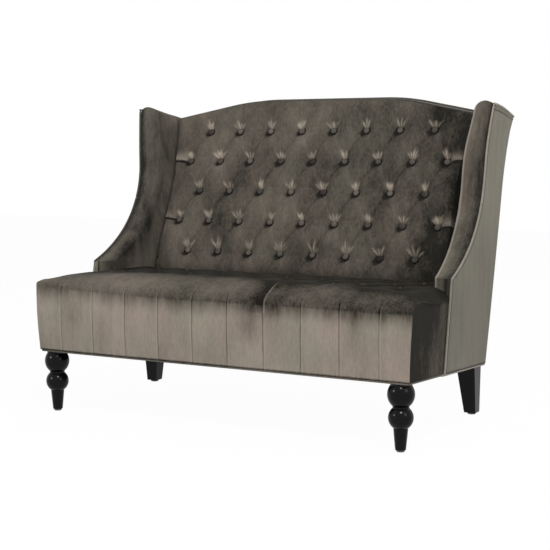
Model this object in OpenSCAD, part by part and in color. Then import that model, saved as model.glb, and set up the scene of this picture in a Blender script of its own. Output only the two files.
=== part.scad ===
/* [Overall] */
// Width across the two side frames, without their padding
frame_w = 1220; // [1060:10:1400]
// Distance from the centre line forward to the frame's front
frame_front = 400; // [360:5:440]
// Distance from the centre line back to the foot of the outside back
back_foot = 209; // [190:1:230]
// Distance from the centre line back to the top of the outside back
back_reach = 414; // [396:1:430]
// Height of the back at its middle
back_h = 984; // [960:2:1040]
// Height of the wings at their front corners
wing_h = 944; // [930:2:960]
// Height of the seat frame's top edge
rail_top = 285; // [270:1:300]
// Height of the padded base's lower edge at the front
leg_h = 190; // [170:1:210]
// Fall of the lower edge for each millimetre towards the back
base_fall = 0.06; // [0.02:0.01:0.07]

/* [Timber] */
// Thickness of the side frames
side_t = 18; // [15:1:22]
// Thickness of the front and rear rails
rail_t = 18; // [15:1:24]
// Thickness of the back posts
post_t = 28; // [22:1:32]
// Thickness of the back's rails and stile
back_rail_t = 22; // [16:1:24]
// Height of the back's rails
back_rail_h = 70; // [50:1:90]
// Width of a corner block
block_w = 60; // [50:1:70]
// Height of a corner block
block_h = 60; // [50:1:80]
// Length of the tabs that hold the rails in the side frames
tab_l = 12; // [8:1:14]

/* [Upholstery] */
// Thickness of the padded cover on the front and the back
cover_t = 8; // [6:1:10]
// Thickness of the padded side panels
panel_t = 14; // [12:1:18]
// Height of the seat beside the wings
seat_side_h = 420; // [410:1:428]
// Height of the seat's crown at its middle
seat_crown_h = 441; // [430:1:452]
// Height of the seat's front edge, below its roll
seat_front_h = 398; // [388:1:404]
// Distance between neighbouring buttons in a row
tuft_pitch = 118; // [112:1:124]
// Distance between rows of buttons, up the slope
row_pitch = 108; // [100:1:112]
// Height of the lowest row of buttons
first_row_h = 471; // [466:1:480]
// Distance from the centre line back to the lowest row of buttons
first_row_y = 149; // [140:1:160]
// Thickness of the back at its top, from the button plane to the outside
back_depth = 63; // [60:1:70]
// Height of the puffs above the button plane
puff_h = 30; // [20:1:34]
// Thickness of the back pad behind the button plane
pad_back_t = 22; // [18:1:26]
// Depth of the tufts in the seat
seat_puff_h = 12; // [6:1:16]
// Depth of the sewn channels on the seat's front
channel_depth = 5; // [3:1:7]
// Diameter of the covered buttons
button_d = 23; // [18:1:26]
// Diameter of the piping
welt_d = 6; // [5:0.5:7]

/* [Wings] */
// Reach of the wings' lower front corners in front of the centre line
knee_front = 108; // [90:1:130]
// Height of the wings' lower front corners
knee_h = 449; // [440:1:470]
// Distance back to where the wings' front edges turn upright
shoulder_back = 167; // [150:1:180]
// Height at which the wings' front edges turn upright
shoulder_h = 771; // [740:1:800]
// Distance back to the wings' top front corners
corner_back = 193; // [180:1:205]
// Width of the padded band on the wings' front edge
band_w = 76; // [66:1:84]
// Outward flare of the wings at the top
wing_flare = 17; // [10:1:30]
// Thickness of the band in front of the side frame
band_t = 10; // [8:1:12]

/* [Legs] */
// Distance from the centre to the middle of a front leg
front_leg_x = 580; // [500:1:590]
// Distance from the centre line forward to the middle of a front leg
front_leg_y = 372; // [345:1:374]
// Radius of the front legs' lower ball
ball_r = 35; // [28:1:38]
// Radius of the front legs' upper ball
knob_r = 38; // [32:1:40]
// Radius of the front legs' foot
foot_r = 15; // [13:0.5:18]
// Width of the rear legs at the top
rear_leg_w = 60; // [50:1:64]
// Width of the rear legs at the bottom
rear_foot_w = 37; // [30:1:44]
// Height of the leg glides
glide_h = 6; // [4:0.5:8]
// Radius of the bolts that hold the legs
bolt_r = 4; // [3:0.5:5]

/* [Springs] */
// Number of sinuous springs
spring_count = 8; // [5:1:10]
// Side of the spring wire
wire_d = 4; // [3:0.5:5]
// Width of a spring over its bends
spring_w = 46; // [40:1:50]
// Length of one bend pair along a spring
spring_step = 34; // [28:1:40]

/* [Hidden] */

// Clearance between soft faces, and between a tab and its slot
gap = 0.3;
tab_gap = 0.15;
timber = "burlywood";
velvet = "dimgray";
velvet_light = "gray";
steel = "silver";
leg_black = "black";
half_w = frame_w / 2;
plate_in = half_w - side_t;
panel_x = half_w + gap;
panel_out = half_w + panel_t;
welt_r = welt_d / 2;
welt_room = welt_d + gap;

// Height of the sloping underside at distance y behind the centre line
function under(y) = leg_h - base_fall * (y + frame_front + cover_t);
// Lower edge of the padding, which leaves room for the piping
function hem(y) = under(y) + welt_room;

// Point at share t along the Bezier curve with control points p
function bezier(p, t) = len(p) == 1 ? p[0] :
    bezier([for (i = [0 : len(p) - 2]) p[i] * (1 - t) + p[i + 1] * t], t);

// Outside back in side view: a quadratic Bezier curve, solved for its height
rear_bend = [300, 480];
rear_low_z = under(back_foot);
bend_a = rear_low_z - 2 * rear_bend[1] + back_h;
bend_b = 2 * (rear_bend[1] - rear_low_z);
function rear_t(z) = (sqrt(bend_b * bend_b + 4 * bend_a * (z - rear_low_z)) - bend_b) / (2 * bend_a);
function back_y(z) = bezier([[back_foot, 0], [rear_bend[0], 0], [back_reach, 0]], rear_t(z))[0];

// Lean of the back, which puts its top as far back as the outside back allows
rake = atan((back_reach - back_depth - first_row_y) / (back_h - first_row_h));
// Button plane: its distance behind the centre line at height z
function plane_y(z) = first_row_y + (z - first_row_h) * tan(rake);

// Camel top: flat in the middle, easing into straight shoulders
camel_flat = 200;
camel_ease = 150;
camel_slope = 0.2;
function camel_drop(a) = a <= 0 ? 0 :
    a < camel_ease ? camel_slope * a * a / (2 * camel_ease) : camel_slope * (a - camel_ease / 2);
function camel_z(x) = back_h - camel_drop(abs(x) - camel_flat);

// Front edge of a wing in side view: an S curve up to the shoulder, then nearly upright
knee_pull = [138, 51];
shoulder_drop = [7, 171];
knee = [-knee_front, knee_h];
shoulder = [shoulder_back, shoulder_h];
wing_low_curve = [knee, knee + knee_pull, shoulder - shoulder_drop, shoulder];
wing_high_curve = [shoulder, shoulder + [3, 80], [corner_back, wing_h]];
low_steps = 12;
high_steps = 4;
wing_front = concat(
    [for (i = [0 : low_steps]) bezier(wing_low_curve, i / low_steps)],
    [for (i = [1 : high_steps]) bezier(wing_high_curve, i / high_steps)]);

// Below the knee the side panel's front edge slants forward to the hem
ear_slant = 49 / 269;
function ear_y(z) = -knee_front - (knee_h - z) * ear_slant;

// Wing sections: outer edge, inner edge of the band and crease against the back
flare_h = 250;
function wing_out(z) = panel_out + wing_flare * pow(max(0, (z - wing_h + flare_h) / flare_h), 2);
// The band is widest at band_mid_z and narrows above and below it
band_mid_z = 600;
band_high = 34;
band_low = 17;
function wing_in(z) = half_w + panel_t - band_w + (z > band_mid_z
    ? band_high * pow((z - band_mid_z) / (wing_h - 4 - band_mid_z), 2)
    : band_low * pow((band_mid_z - z) / (band_mid_z - knee_h + 8), 1.6));
// The crease stands in_crease inside the frame up to crease_z, then runs outward
in_crease = 84;
crease_z = 640;
crease_high = 32;
crease_low = 5;
function crease_at(z) = half_w - in_crease
    + crease_high * pow(max(0, z - crease_z) / (wing_h - 14 - crease_z), 2)
    + crease_low * max(0, crease_z - z) / (crease_z - seat_side_h);
crease_set = 13;
function crease_y(z) = plane_y(z) + crease_set;

// Top of a wing: it falls towards the back and swells a little at the front
wing_top_fall = 28;
wing_swell = 20;
function wing_top(x, y) = wing_h - wing_top_fall * pow(max(0, (y - corner_back) / 200), 2)
    + wing_swell * max(0, 1 - pow((x - half_w) / 40, 2)) * max(0, 1 - (y - corner_back) / 150);
// Heights above this line are stretched so that they meet the wing's top
stretch_z = wing_h - 70;
function lift(x, y, z) = z <= stretch_z ? z :
    stretch_z + (z - stretch_z) * (wing_top(x, y) - stretch_z) / (wing_h - stretch_z);

// Closed skin over a list of rings with equally many points each
function skin_faces(n, m) = [for (i = [0 : n - 2]) for (j = [0 : m - 1])
    for (f = [[i * m + j, i * m + (j + 1) % m, (i + 1) * m + (j + 1) % m],
              [i * m + j, (i + 1) * m + (j + 1) % m, (i + 1) * m + j]]) f];
// Cap of a ring whose two long sides run beside each other
function strip_cap(base, m, turn) = [for (j = [0 : m / 2 - 2])
    for (f = [[base + j, base + m - 1 - j, base + m - 2 - j], [base + j, base + m - 2 - j, base + j + 1]])
        turn ? [f[2], f[1], f[0]] : f];

module skin(rings, strips = false) {
    n = len(rings);
    m = len(rings[0]);
    points = [for (r = rings) for (p = r) p];
    first = [[for (j = [m - 1 : -1 : 0]) j]];
    last = [[for (j = [0 : m - 1]) (n - 1) * m + j]];
    caps = strips ? concat(strip_cap(0, m, false), strip_cap((n - 1) * m, m, true)) : concat(first, last);
    polyhedron(points, concat(skin_faces(n, m), caps), convexity = 10);
}

// Tube of n sides along a path of points, each with its own side vectors
module piping(path, closed = false, n = 8) {
    last = len(path) - 1;
    rings = [for (i = [0 : last])
        let (a = path[closed ? (i + last) % (last + 1) : max(i - 1, 0)],
             b = path[closed ? (i + 1) % (last + 1) : min(i + 1, last)],
             d = (b - a) / norm(b - a),
             s = cross(d, abs(d[2]) > 0.9 ? [1, 0, 0] : [0, 0, 1]),
             u = s / norm(s),
             v = cross(u, d))
        [for (k = [0 : n - 1]) path[i] + welt_r * (u * cos(360 * k / n) + v * sin(360 * k / n))]];
    if (closed) {
        points = [for (r = rings) for (p = r) p];
        total = len(path);
        faces = [for (i = [0 : total - 1]) for (j = [0 : n - 1])
            let (k = (i + 1) % total)
            for (f = [[i * n + j, k * n + (j + 1) % n, i * n + (j + 1) % n],
                      [i * n + j, k * n + j, k * n + (j + 1) % n]]) f];
        polyhedron(points, faces, convexity = 10);
    } else {
        skin([for (i = [last : -1 : 0]) rings[i]]);
    }
}

// Board whose outline is drawn in side view, from x1 to x2
module side_board(outline, x1, x2) {
    translate([x1, 0, 0]) rotate([90, 0, 90]) linear_extrude(x2 - x1) polygon(outline);
}

module both_sides() {
    children();
    mirror([1, 0, 0]) children();
}

// Places its children in the button plane: x across, y square behind it, z up the slope
module on_back() {
    translate([0, first_row_y, first_row_h]) rotate([-rake, 0, 0]) children();
}
// Height in that plane of a level z
function up_slope(z) = (z - first_row_h) / cos(rake);

// Tufting: buttons lie where u and v are both whole and their sum is even
tuft_rows = 5;
crease_share = 0.38;
function tuft(u, v) = let (
        a = (u + v) / 2 * 180,
        b = (u - v) / 2 * 180,
        puff = pow(abs(sin(a) * sin(b)), 0.6),
        hole = 1 - pow(cos(a) * cos(b), 2))
    crease_share * puff + (1 - crease_share) * hole;

/* Frame */

rear_skin = cover_t + gap;
block_top = rail_top;
front_block_y = -frame_front + rail_t;
rear_rail_y = back_foot - cover_t - rail_t;
tab_z = 42;
tab_h = 40;

function rear_face(z) = back_y(z) - rear_skin;

module rail_tabs(y, z, grow) {
    for (dz = [0, tab_z])
        translate([plate_in - 1, y - grow, z + dz - grow])
            cube([tab_l + 1 + grow, rail_t + 2 * grow, tab_h / 2 + 2 * grow]);
}

module front_rail() {
    y1 = -frame_front;
    color(timber) union() {
        side_board([[y1, under(y1)], [y1 + rail_t, under(y1 + rail_t)],
            [y1 + rail_t, rail_top], [y1, rail_top]], -plate_in, plate_in);
        both_sides() rail_tabs(y1, leg_h + 20, 0);
    }
}

module rear_rail() {
    y1 = rear_rail_y;
    color(timber) union() {
        side_board([[y1, under(y1)], [y1 + rail_t, under(y1 + rail_t)],
            [y1 + rail_t, rail_top], [y1, rail_top]], -plate_in, plate_in);
        both_sides() rail_tabs(y1, under(y1) + 22, 0);
    }
}

plate_top_z = wing_h - 14;
function front_at(z) = lookup(z, [for (p = wing_front) [p[1], p[0]]]);
// Rear of a wing at ring height z, where the falling top has lowered it
function lowered(z) = lift(half_w, rear_face(min(z, wing_h - 20)), z);
// Stations from the front of the side frame to its rear, which the pads share
stations = 5;
function station(y1, y2, i) = y1 + (y2 - y1) * i / (stations - 1);
plate_top_y = [for (i = [0 : stations - 1])
    station(front_at(plate_top_z) + band_t, rear_face(lowered(plate_top_z)), i)];
plate_rear_z = lowered(plate_top_z) - 1;
rear_steps = 8;
// Side frame outline: base board, then the wing's S curve and the leaning rear edge
plate_outline = concat(
    [[-frame_front, under(-frame_front)], [-frame_front, rail_top], [-knee_front + band_t, rail_top]],
    [for (p = wing_front) if (p[1] < plate_top_z - 5) p + [band_t, 0]],
    [for (y = plate_top_y) [y, lift(plate_in, y, plate_top_z) - 1]],
    [for (i = [rear_steps - 1 : -1 : 0])
        let (z = rear_low_z + 2 + i * (plate_rear_z - rear_low_z - 2) / rear_steps) [rear_face(z), z]],
    [[rear_face(rear_low_z + 2), under(back_foot - rear_skin)]]);

module side_frame() {
    color(timber) difference() {
        side_board(plate_outline, plate_in, half_w);
        rail_tabs(-frame_front, leg_h + 20, tab_gap);
        rail_tabs(rear_rail_y, under(rear_rail_y) + 22, tab_gap);
    }
}

module side_frame_right() { side_frame(); }

module side_frame_left() { mirror([1, 0, 0]) side_frame(); }

center_rail_w = 32;
center_rail_h = 50;
module center_rail() {
    color(timber) translate([-center_rail_w / 2, front_block_y, under(front_block_y) + 2])
        cube([center_rail_w, rear_rail_y - front_block_y, center_rail_h]);
}

rear_leg_x = half_w - 2 - rear_leg_w / 2;
rear_leg_y = back_foot - 1 - rear_leg_w / 2;
bolt_edge = 12;
rear_bolt_x = plate_in - 1.5 * bolt_edge;
rear_bolt_y = rear_rail_y - 20;
front_bolt_x = min(front_leg_x, plate_in - bolt_edge);
front_bolt_y = front_leg_y;

module corner_block(x, y1, y2, bx, by) {
    difference() {
        side_board([[y1, under(y1)], [y2, under(y2)], [y2, block_top], [y1, block_top]],
            plate_in - block_w, plate_in);
        translate([bx, by, 0]) cylinder(r = bolt_r + 0.05, h = back_h, $fn = 48);
        translate([bx, by, under(by) + block_h]) cylinder(r = 9, h = back_h, $fn = 48);
    }
}

module corner_blocks() {
    color(timber) both_sides() {
        corner_block(plate_in, front_block_y, front_block_y + block_w, front_bolt_x, -front_bolt_y);
        corner_block(plate_in, rear_rail_y - block_w, rear_rail_y, rear_bolt_x, rear_bolt_y);
    }
}

post_top = stretch_z - 4;
// Front of the back frame, square behind the button plane and a layer of webbing
web_t = 2;
frame_set = (pad_back_t + gap + web_t + gap) / cos(rake);
function frame_y(z) = plane_y(z) + frame_set;
post_heights = [for (i = [0 : 6]) rail_top + i * (post_top - rail_top) / 6];
post_outline = concat([[frame_y(rail_top), rail_top], [frame_y(post_top), post_top]],
    [for (i = [6 : -1 : 0]) [min(rear_face(post_heights[i]), frame_y(post_heights[i]) + 110), post_heights[i]]]);

module back_post() {
    color(timber) side_board(post_outline, plate_in - post_t, plate_in);
}

module back_post_right() { back_post(); }

module back_post_left() { mirror([1, 0, 0]) back_post(); }

// Rails and stile stand between the posts, behind the webbing
rail_set = frame_set * cos(rake);
top_rail_room = 16;
post_in = plate_in - post_t;
camel_points = [for (i = [-12 : 12]) let (x = i * post_in / 12) [x, camel_z(x)]];

module back_top_rail() {
    color(timber) intersection() {
        on_back() translate([-post_in, rail_set, 0]) cube([2 * post_in, back_rail_t, back_h]);
        translate([0, back_h, 0]) rotate([90, 0, 0]) linear_extrude(back_h) polygon(concat(
            [for (p = camel_points) p - [0, top_rail_room]],
            [for (i = [24 : -1 : 0]) camel_points[i] - [0, top_rail_room + back_rail_h]]));
    }
}

lower_rail_up = up_slope(seat_side_h + 6);
module back_lower_rail() {
    color(timber) on_back() translate([-post_in, rail_set, lower_rail_up])
        cube([2 * post_in, back_rail_t, back_rail_h]);
}

stile_w = 44;
module back_center_stile() {
    up1 = lower_rail_up + back_rail_h;
    color(timber) intersection() {
        on_back() translate([-stile_w / 2, rail_set, up1]) cube([stile_w, back_rail_t, back_h]);
        translate([-stile_w, 0, 0]) cube([2 * stile_w, back_h, back_h - top_rail_room - back_rail_h]);
    }
}

/* Springs */

clip_t = 2;
spring_z = rail_top + clip_t;
deck_z = spring_z + wire_d + gap;
deck_t = 3;
seat_floor = deck_z + deck_t + gap;
spring_room = 2 * plate_in - 130;
function spring_x(i) = -spring_room / 2 + (i + 0.5) * spring_room / spring_count;
clip_l = 24;
spring_y1 = -frame_front + rail_t - 6;
spring_y2 = rear_rail_y + 6;
bends = floor((spring_y2 - spring_y1 - 40) / spring_step);
bend_y0 = (spring_y1 + spring_y2 - bends * spring_step) / 2;
bend_steps = 8;

// Centre line of a spring: a wave that starts and ends on straight tails
function wave(s) = (spring_w - wire_d) / 2 * sin(360 * s);
wave_points = concat([[0, spring_y1]],
    [for (i = [0 : bends * bend_steps]) let (s = i / bend_steps) [wave(s), bend_y0 + s * spring_step]],
    [[0, spring_y2]]);
// Side of the wire at point i, square to the centre line
function wave_side(i) = let (
        a = wave_points[max(i - 1, 0)],
        b = wave_points[min(i + 1, len(wave_points) - 1)],
        d = (b - a) / norm(b - a))
    [-d[1], d[0]] * wire_d / 2;

module sinuous_spring() {
    n = len(wave_points);
    translate([0, 0, spring_z]) linear_extrude(wire_d) polygon(concat(
        [for (i = [0 : n - 1]) wave_points[i] + wave_side(i)],
        [for (i = [n - 1 : -1 : 0]) wave_points[i] - wave_side(i)]));
}

module seat_springs() {
    color(steel) for (i = [0 : spring_count - 1])
        translate([spring_x(i), 0, 0]) sinuous_spring();
}

// Clip: a plate on the rail, folded up beside the wire's tail
module spring_clip(y1, y2) {
    translate([-clip_l / 2, y1, rail_top]) cube([clip_l, y2 - y1, clip_t]);
    for (side = [-1, 1])
        translate([side * (wire_d / 2 + gap + clip_t / 2) - clip_t / 2, y1, rail_top])
            cube([clip_t, y2 - y1, clip_t + wire_d - gap]);
}

module spring_clips() {
    color(steel) for (i = [0 : spring_count - 1]) translate([spring_x(i), 0, 0]) {
        union() spring_clip(-frame_front + 1, -frame_front + rail_t - 1);
        union() spring_clip(rear_rail_y + 1, rear_rail_y + rail_t - 1);
    }
}

// Wires tied across under the springs
module spring_ties() {
    color(steel) for (s = [1, 2]) translate([0, spring_y1 + s * (spring_y2 - spring_y1) / 3, 0])
        translate([spring_x(0) - spring_w / 2, 0, spring_z - gap - 1.5]) rotate([0, 90, 0])
            cylinder(r = 1.5, h = spring_x(spring_count - 1) - spring_x(0) + spring_w, $fn = 24);
}

module spring_deck() {
    x1 = post_in - gap;
    color("ivory") translate([-x1, -frame_front, deck_z])
        cube([2 * x1, rear_rail_y + rail_t + frame_front, deck_t]);
}

web_w = 50;
web_count = 7;
module back_webbing() {
    up1 = lower_rail_up + 20;
    up2 = up_slope(camel_z(post_in) - top_rail_room - 20);
    color("khaki") on_back() {
        for (i = [0 : web_count - 1])
            translate([(i - (web_count - 1) / 2) * 2 * post_in / (web_count + 0.5) - web_w / 2,
                pad_back_t + gap, up1])
                cube([web_w, web_t / 2, up2 - up1]);
        for (k = [0 : 3])
            translate([-post_in - post_t + 8, pad_back_t + gap + web_t / 2, up1 + 30 + k * (up2 - up1 - 110) / 3])
                cube([2 * (post_in + post_t - 8), web_t / 2, web_w]);
    }
}

/* Upholstery */

// Seat: height of its top at x, y, without channels and tufts
seat_back_y = 150;
seat_rest_z = seat_side_h - 20;
seat_rear_y = 86;
crown_y = -290;
front_face = frame_front + cover_t;
function seat_dome(x) = seat_side_h + (seat_crown_h - seat_side_h) * (1 - pow(min(1, abs(x) / half_w), 3));
function seat_z(x, y) = y < crown_y
    ? seat_front_h + (seat_dome(x) - seat_front_h) * sin(90 * (y + front_face) / (crown_y + front_face))
    : seat_dome(x) + (seat_side_h - seat_dome(x)) * pow((y - crown_y) / (seat_rear_y - crown_y), 1.3);

// Channels between the front seams, which lie midway between whole pitches
function channel(x) = channel_depth * (pow(abs(cos(180 * x / tuft_pitch)), 0.5) - 1);
seat_rows_y = -232;
seat_row_pitch = 92;
// The channels deepen into pleats, and these into diamonds, from the front to the first row
function seat_relief(x, y) = let (
        u = 2 * x / tuft_pitch,
        v = 1 + max(0, (y - seat_rows_y) / seat_row_pitch),
        blend = min(1, max(0, (y - crown_y) / (seat_rows_y - crown_y))))
    (1 - blend) * channel(x) + blend * seat_puff_h * (tuft(u, v) - 1);

seat_side = half_w + cover_t;
seat_bulge = 6;
face_share = [0, 0.35, 0.7, 1];
edge_round = 18;
roll_y = [for (d = [3, 20, 48, 80]) -front_face + d];
top_y = concat([crown_y], [for (i = [0 : 6]) seat_rows_y + i * seat_row_pitch / 2], [seat_rear_y]);

// The side faces lean out a little from the hem to the top
side_lean = 9 / 185;
function leaning(x, z, lean) = x + sign(x) * lean * side_lean * (z - leg_h) * (abs(x) - seat_side + 45) / 45;

// Outline of the seat at x in side view, lowered by droop near its sides
function seat_ring(x, lean, droop) = let (
        z1 = hem(-front_face),
        z2 = seat_front_h - edge_round - droop_at(-front_face, droop))
    [for (p = concat(
        [for (s = face_share)
            [-front_face - 1.2 * s * channel(x) - seat_bulge * sin(150 * s), z1 + s * (z2 - z1)]],
        [for (y = roll_y) [y, seat_z(x, y) - droop_at(y, droop) + channel(x)]],
        [for (y = top_y) [y, seat_z(x, y) - droop_at(y, droop) + seat_relief(x, y)]],
        [[seat_rear_y + 6, seat_rest_z - droop], [seat_back_y, seat_rest_z - droop],
         [seat_back_y, hem(seat_back_y)]]))
        [leaning(x, p[1], lean), p[0], p[1]]];

columns = floor((seat_side - 45) / (tuft_pitch / 4));
edge_in = [44, 26, 9, 1.5];
edge_droop = [0, 2, 9, 24];
// The front corners stay nearly square, so the edges droop less there
function droop_at(y, droop) = droop * (1 - 0.9 * min(1, max(0, (-y - 300) / (front_face - 310))));

module seat_form() {
    inner = [for (i = [-columns : columns]) seat_ring(i * tuft_pitch / 4, 0, 0)];
    left = [for (k = [3 : -1 : 0]) seat_ring(-seat_side + edge_in[k], 1, edge_droop[k])];
    right = [for (k = [0 : 3]) seat_ring(seat_side - edge_in[k], 1, edge_droop[k])];
    skin(concat(left, inner, right));
}

// Rounding of the band's inner edge, and the outer edge's cut that seats the piping
band_r = 30;
edge_cut = 6.8;
// Room that a wing takes out of the seat, in plan
wing_room = [[crease_at(knee_h) - gap, seat_back_y + 20],
    [crease_at(knee_h) - gap, frame_y(seat_floor) - gap - 4],
    [wing_in(knee_h) - gap, -knee_front + band_r], [wing_in(knee_h) + band_r, -knee_front - gap],
    [half_w + 60, -knee_front - gap], [half_w + 60, seat_back_y + 20]];

module seat_pad() {
    color(velvet) difference() {
        seat_form();
        translate([-half_w - gap, -frame_front - gap, 0])
            cube([2 * (half_w + gap), 2 * frame_front, seat_floor]);
        both_sides() translate([0, 0, seat_floor - 20]) linear_extrude(300) polygon(wing_room);
        both_sides() translate([0, -welt_r - gap, 0]) side_board([[ear_y(0), 0], [ear_y(knee_h), knee_h],
            [ear_y(knee_h) + 400, knee_h], [ear_y(0) + 600, 0]], half_w, half_w + 60);
    }
}

// Back pad: buttons at whole u and v, pleats above the top row and folds beside the outer ones
pad_set = pad_back_t / cos(rake);
top_v = tuft_rows;
function back_tuft(x, v) = let (
        u = min(8, max(-8, 2 * x / tuft_pitch)),
        vv = min(top_v, max(1, v)),
        past = min(1, max(0, max(v - top_v, abs(2 * x / tuft_pitch) - 8) / 0.7)),
        t = tuft(u, vv))
    t + past * (1 - t) * 0.7;
function on_plane(x, n, s) = [x, first_row_y + s * sin(rake) - n * cos(rake),
    first_row_h + s * cos(rake) + n * sin(rake)];

roll_in = 14;
row_steps = [for (i = [0 : 9]) 0.5 + i / 2];
// Front line of the pad at x from the seat to the camel top; swell shrinks it towards the wings
function pad_front(x, swell) = let (top = camel_z(x), z0 = seat_rest_z + gap, mid = 0.55)
    concat(
    [[x, plane_y(z0) - 0.75 * swell * puff_h, z0]],
    [for (v = row_steps) on_plane(x, swell * puff_h * back_tuft(x, v), (v - 1) * row_pitch)],
    [let (z = mid * top + (1 - mid) * (first_row_h + (tuft_rows - 1) * row_pitch * cos(rake)))
        [x, plane_y(z) - swell * puff_h * back_tuft(x, top_v + 0.6), z]],
    [[x, plane_y(top) - 0.86 * swell * puff_h, top - roll_in],
     [x, plane_y(top) - 0.5 * swell * puff_h, top - 0.3 * roll_in],
     [x, plane_y(top), top]]);

// Rear line from the top down: over the top rail to the outside back, then down behind the pad
function pad_rear(x, front) = let (top = camel_z(x), low = top - top_rail_room + 1, k = len(front))
    concat([[x, rear_face(top - 1), top - 1], [x, rear_face(low), low], [x, plane_y(low) + pad_set, low]],
        [for (i = [k - 4 : -1 : 0]) [x, plane_y(front[i][2]) + pad_set, front[i][2]]]);
function pad_ring(x, swell, side) = let (front = pad_front(x, swell))
    [for (p = concat(front, pad_rear(x, front)))
        side == 0 ? p : [sign(x) * (crease_at(p[2]) - gap - side), p[1], p[2]]];

pad_columns = floor((half_w - in_crease - 20) / (tuft_pitch / 4));
function pad_end(side, swell, dir) = let (x = dir * crease_at(first_row_h)) pad_ring(x, swell, side);

module back_pad() {
    edge = [-crease_set * cos(rake) / puff_h, 0.62];
    color(velvet) skin(concat(
        [pad_end(0.01, edge[0], -1), pad_end(10, edge[1], -1)],
        [for (i = [-pad_columns : pad_columns]) pad_ring(i * tuft_pitch / 4, 1, 0)],
        [pad_end(10, edge[1], 1), pad_end(0.01, edge[0], 1)]), strips = true);
}

// Wing pad rings: outer line from the band back along the side frame, inner line to the crease
function wing_ring(z, f, xo, xp, yr) = let (
        xi = wing_in(z),
        xc = crease_at(z),
        yc = min(crease_y(z), yr - 4),
        yb = f + band_t - gap,
        outer = concat([[xo - edge_cut, f], [xo, f + edge_cut], [xo, yb], [xp, yb]],
            [for (i = [1 : stations - 1]) [xp, station(f + band_t, yr, i)]]),
        turn = [for (a = [90, 60, 30, 0]) [xi + band_r * (1 - cos(a)), f + band_r * (1 - sin(a))]],
        inner = concat(turn, [for (s = [0.4, 0.8]) [xi + (xc - xi) * s, f + band_r + (yc - f - band_r) * s]],
            [[xc, yc], [xc, yr]]))
    [for (p = concat(outer, [for (i = [7 : -1 : 0]) inner[i]])) [p[0], p[1], lift(p[0], p[1], z)]];

// The pad stops in front of the webbing that is fixed to the posts
function short_rear(z) = frame_y(z) - (web_t + gap) / cos(rake) - gap;
function full_rear(z) = rear_face(lowered(z)) - gap;
wing_heights = [for (p = wing_front) if (p[1] < post_top - 10) p[1]];

module wing_pad() {
    xp = plate_in - gap;
    rings = concat(
        [for (z = wing_heights) wing_ring(z, front_at(z), wing_out(z), xp, short_rear(z))],
        [let (z = post_top + gap) wing_ring(z, front_at(z), wing_out(z), xp, short_rear(z)),
         let (z = post_top + 2 * gap) wing_ring(z, front_at(z), wing_out(z), xp, full_rear(z)),
         let (z = plate_top_z) wing_ring(z, front_at(z), wing_out(z), xp, full_rear(z)),
         let (z = plate_top_z + gap) wing_ring(z, front_at(z), wing_out(z), half_w, full_rear(z)),
         wing_ring(wing_h, corner_back, wing_out(wing_h), half_w, full_rear(wing_h))]);
    low = [for (z = [seat_floor, knee_h - gap])
        [for (p = wing_ring(knee_h, -knee_front, half_w, xp, short_rear(z))) [p[0], p[1], z]]];
    color(velvet) skin(concat(low, rings), strips = true);
}

module wing_pad_right() { wing_pad(); }

module wing_pad_left() { mirror([1, 0, 0]) wing_pad(); }

// Side panel: a skin from the slanting front edge and the band back to the outside back.
// Below the knee its front edge is cut back by cut to seat the piping
function panel_ring(z, y1, y2, cut, low) =
    let (ys = concat([y1, y1 + edge_cut], [for (i = [1 : stations - 1]) station(y1, y2, i)]),
         outer = [for (i = [0 : stations]) [wing_out(z) - (i == 0 ? cut : 0), ys[i]]],
         inner = [for (i = [stations : -1 : 0]) [panel_x, ys[i]]])
    [for (p = concat(outer, inner)) [p[0], p[1], low ? hem(p[1]) : lift(p[0], p[1], z)]];

module side_panel() {
    z0 = leg_h;
    rings = concat(
        [panel_ring(z0, ear_y(hem(-knee_front)), back_y(hem(back_foot)), edge_cut, true)],
        [for (z = [z0 + 30, z0 + 90, rail_top + 50, seat_side_h, knee_h - 3 * gap])
            panel_ring(z, ear_y(z), back_y(z), edge_cut, false)],
        [for (z = concat([knee_h - gap], [for (z = wing_heights) if (z > knee_h) z], [post_top, plate_top_z]))
            panel_ring(z, front_at(z) + band_t, back_y(lowered(z)), 0, false)],
        [panel_ring(wing_h, corner_back + band_t, back_y(lowered(wing_h)), 0, false)]);
    color(velvet_light) skin(rings, strips = true);
}

module side_panel_right() { side_panel(); }

module side_panel_left() { mirror([1, 0, 0]) side_panel(); }

skin_steps = 14;
module outside_back_panel() {
    z0 = hem(back_foot);
    zs = [for (i = [0 : skin_steps]) z0 + i * (back_h - z0) / skin_steps];
    outline = concat([for (z = zs) [back_y(z), z]],
        [for (i = [skin_steps : -1 : 0]) [back_y(zs[i]) - cover_t, zs[i]]]);
    top = [for (i = [-12 : 12]) let (x = i * half_w / 12) [x, camel_z(x)]];
    color(velvet) intersection() {
        side_board(outline, -half_w, half_w);
        translate([0, 2 * back_reach, 0]) rotate([90, 0, 0]) linear_extrude(3 * back_reach)
            polygon(concat([[-half_w - 1, 0]], top, [[half_w + 1, 0]]));
    }
}

// Covered button: a domed head on a tapered back that sits in its pocket
button_back = 9.5;
button_dome = 6;
module button() {
    r = button_d / 2;
    rotate([90, 0, 0]) rotate_extrude($fn = 24) polygon(concat(
        [[0, gap], [r, button_back], [r, button_back + 1.5]],
        [for (a = [30, 60]) [r * cos(a), button_back + 1.5 + button_dome * sin(a)]],
        [[0, button_back + 1.5 + button_dome]]));
}

module back_buttons() {
    color(velvet) on_back() for (row = [0 : tuft_rows - 1]) {
        count = row % 2 == 0 ? 8 : 9;
        for (i = [0 : count - 1])
            translate([(i - (count - 1) / 2) * tuft_pitch, 0, row * row_pitch]) button();
    }
}

/* Piping */

function top_welt_z(x, y) = wing_top(x, y) + welt_r + gap;
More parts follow.
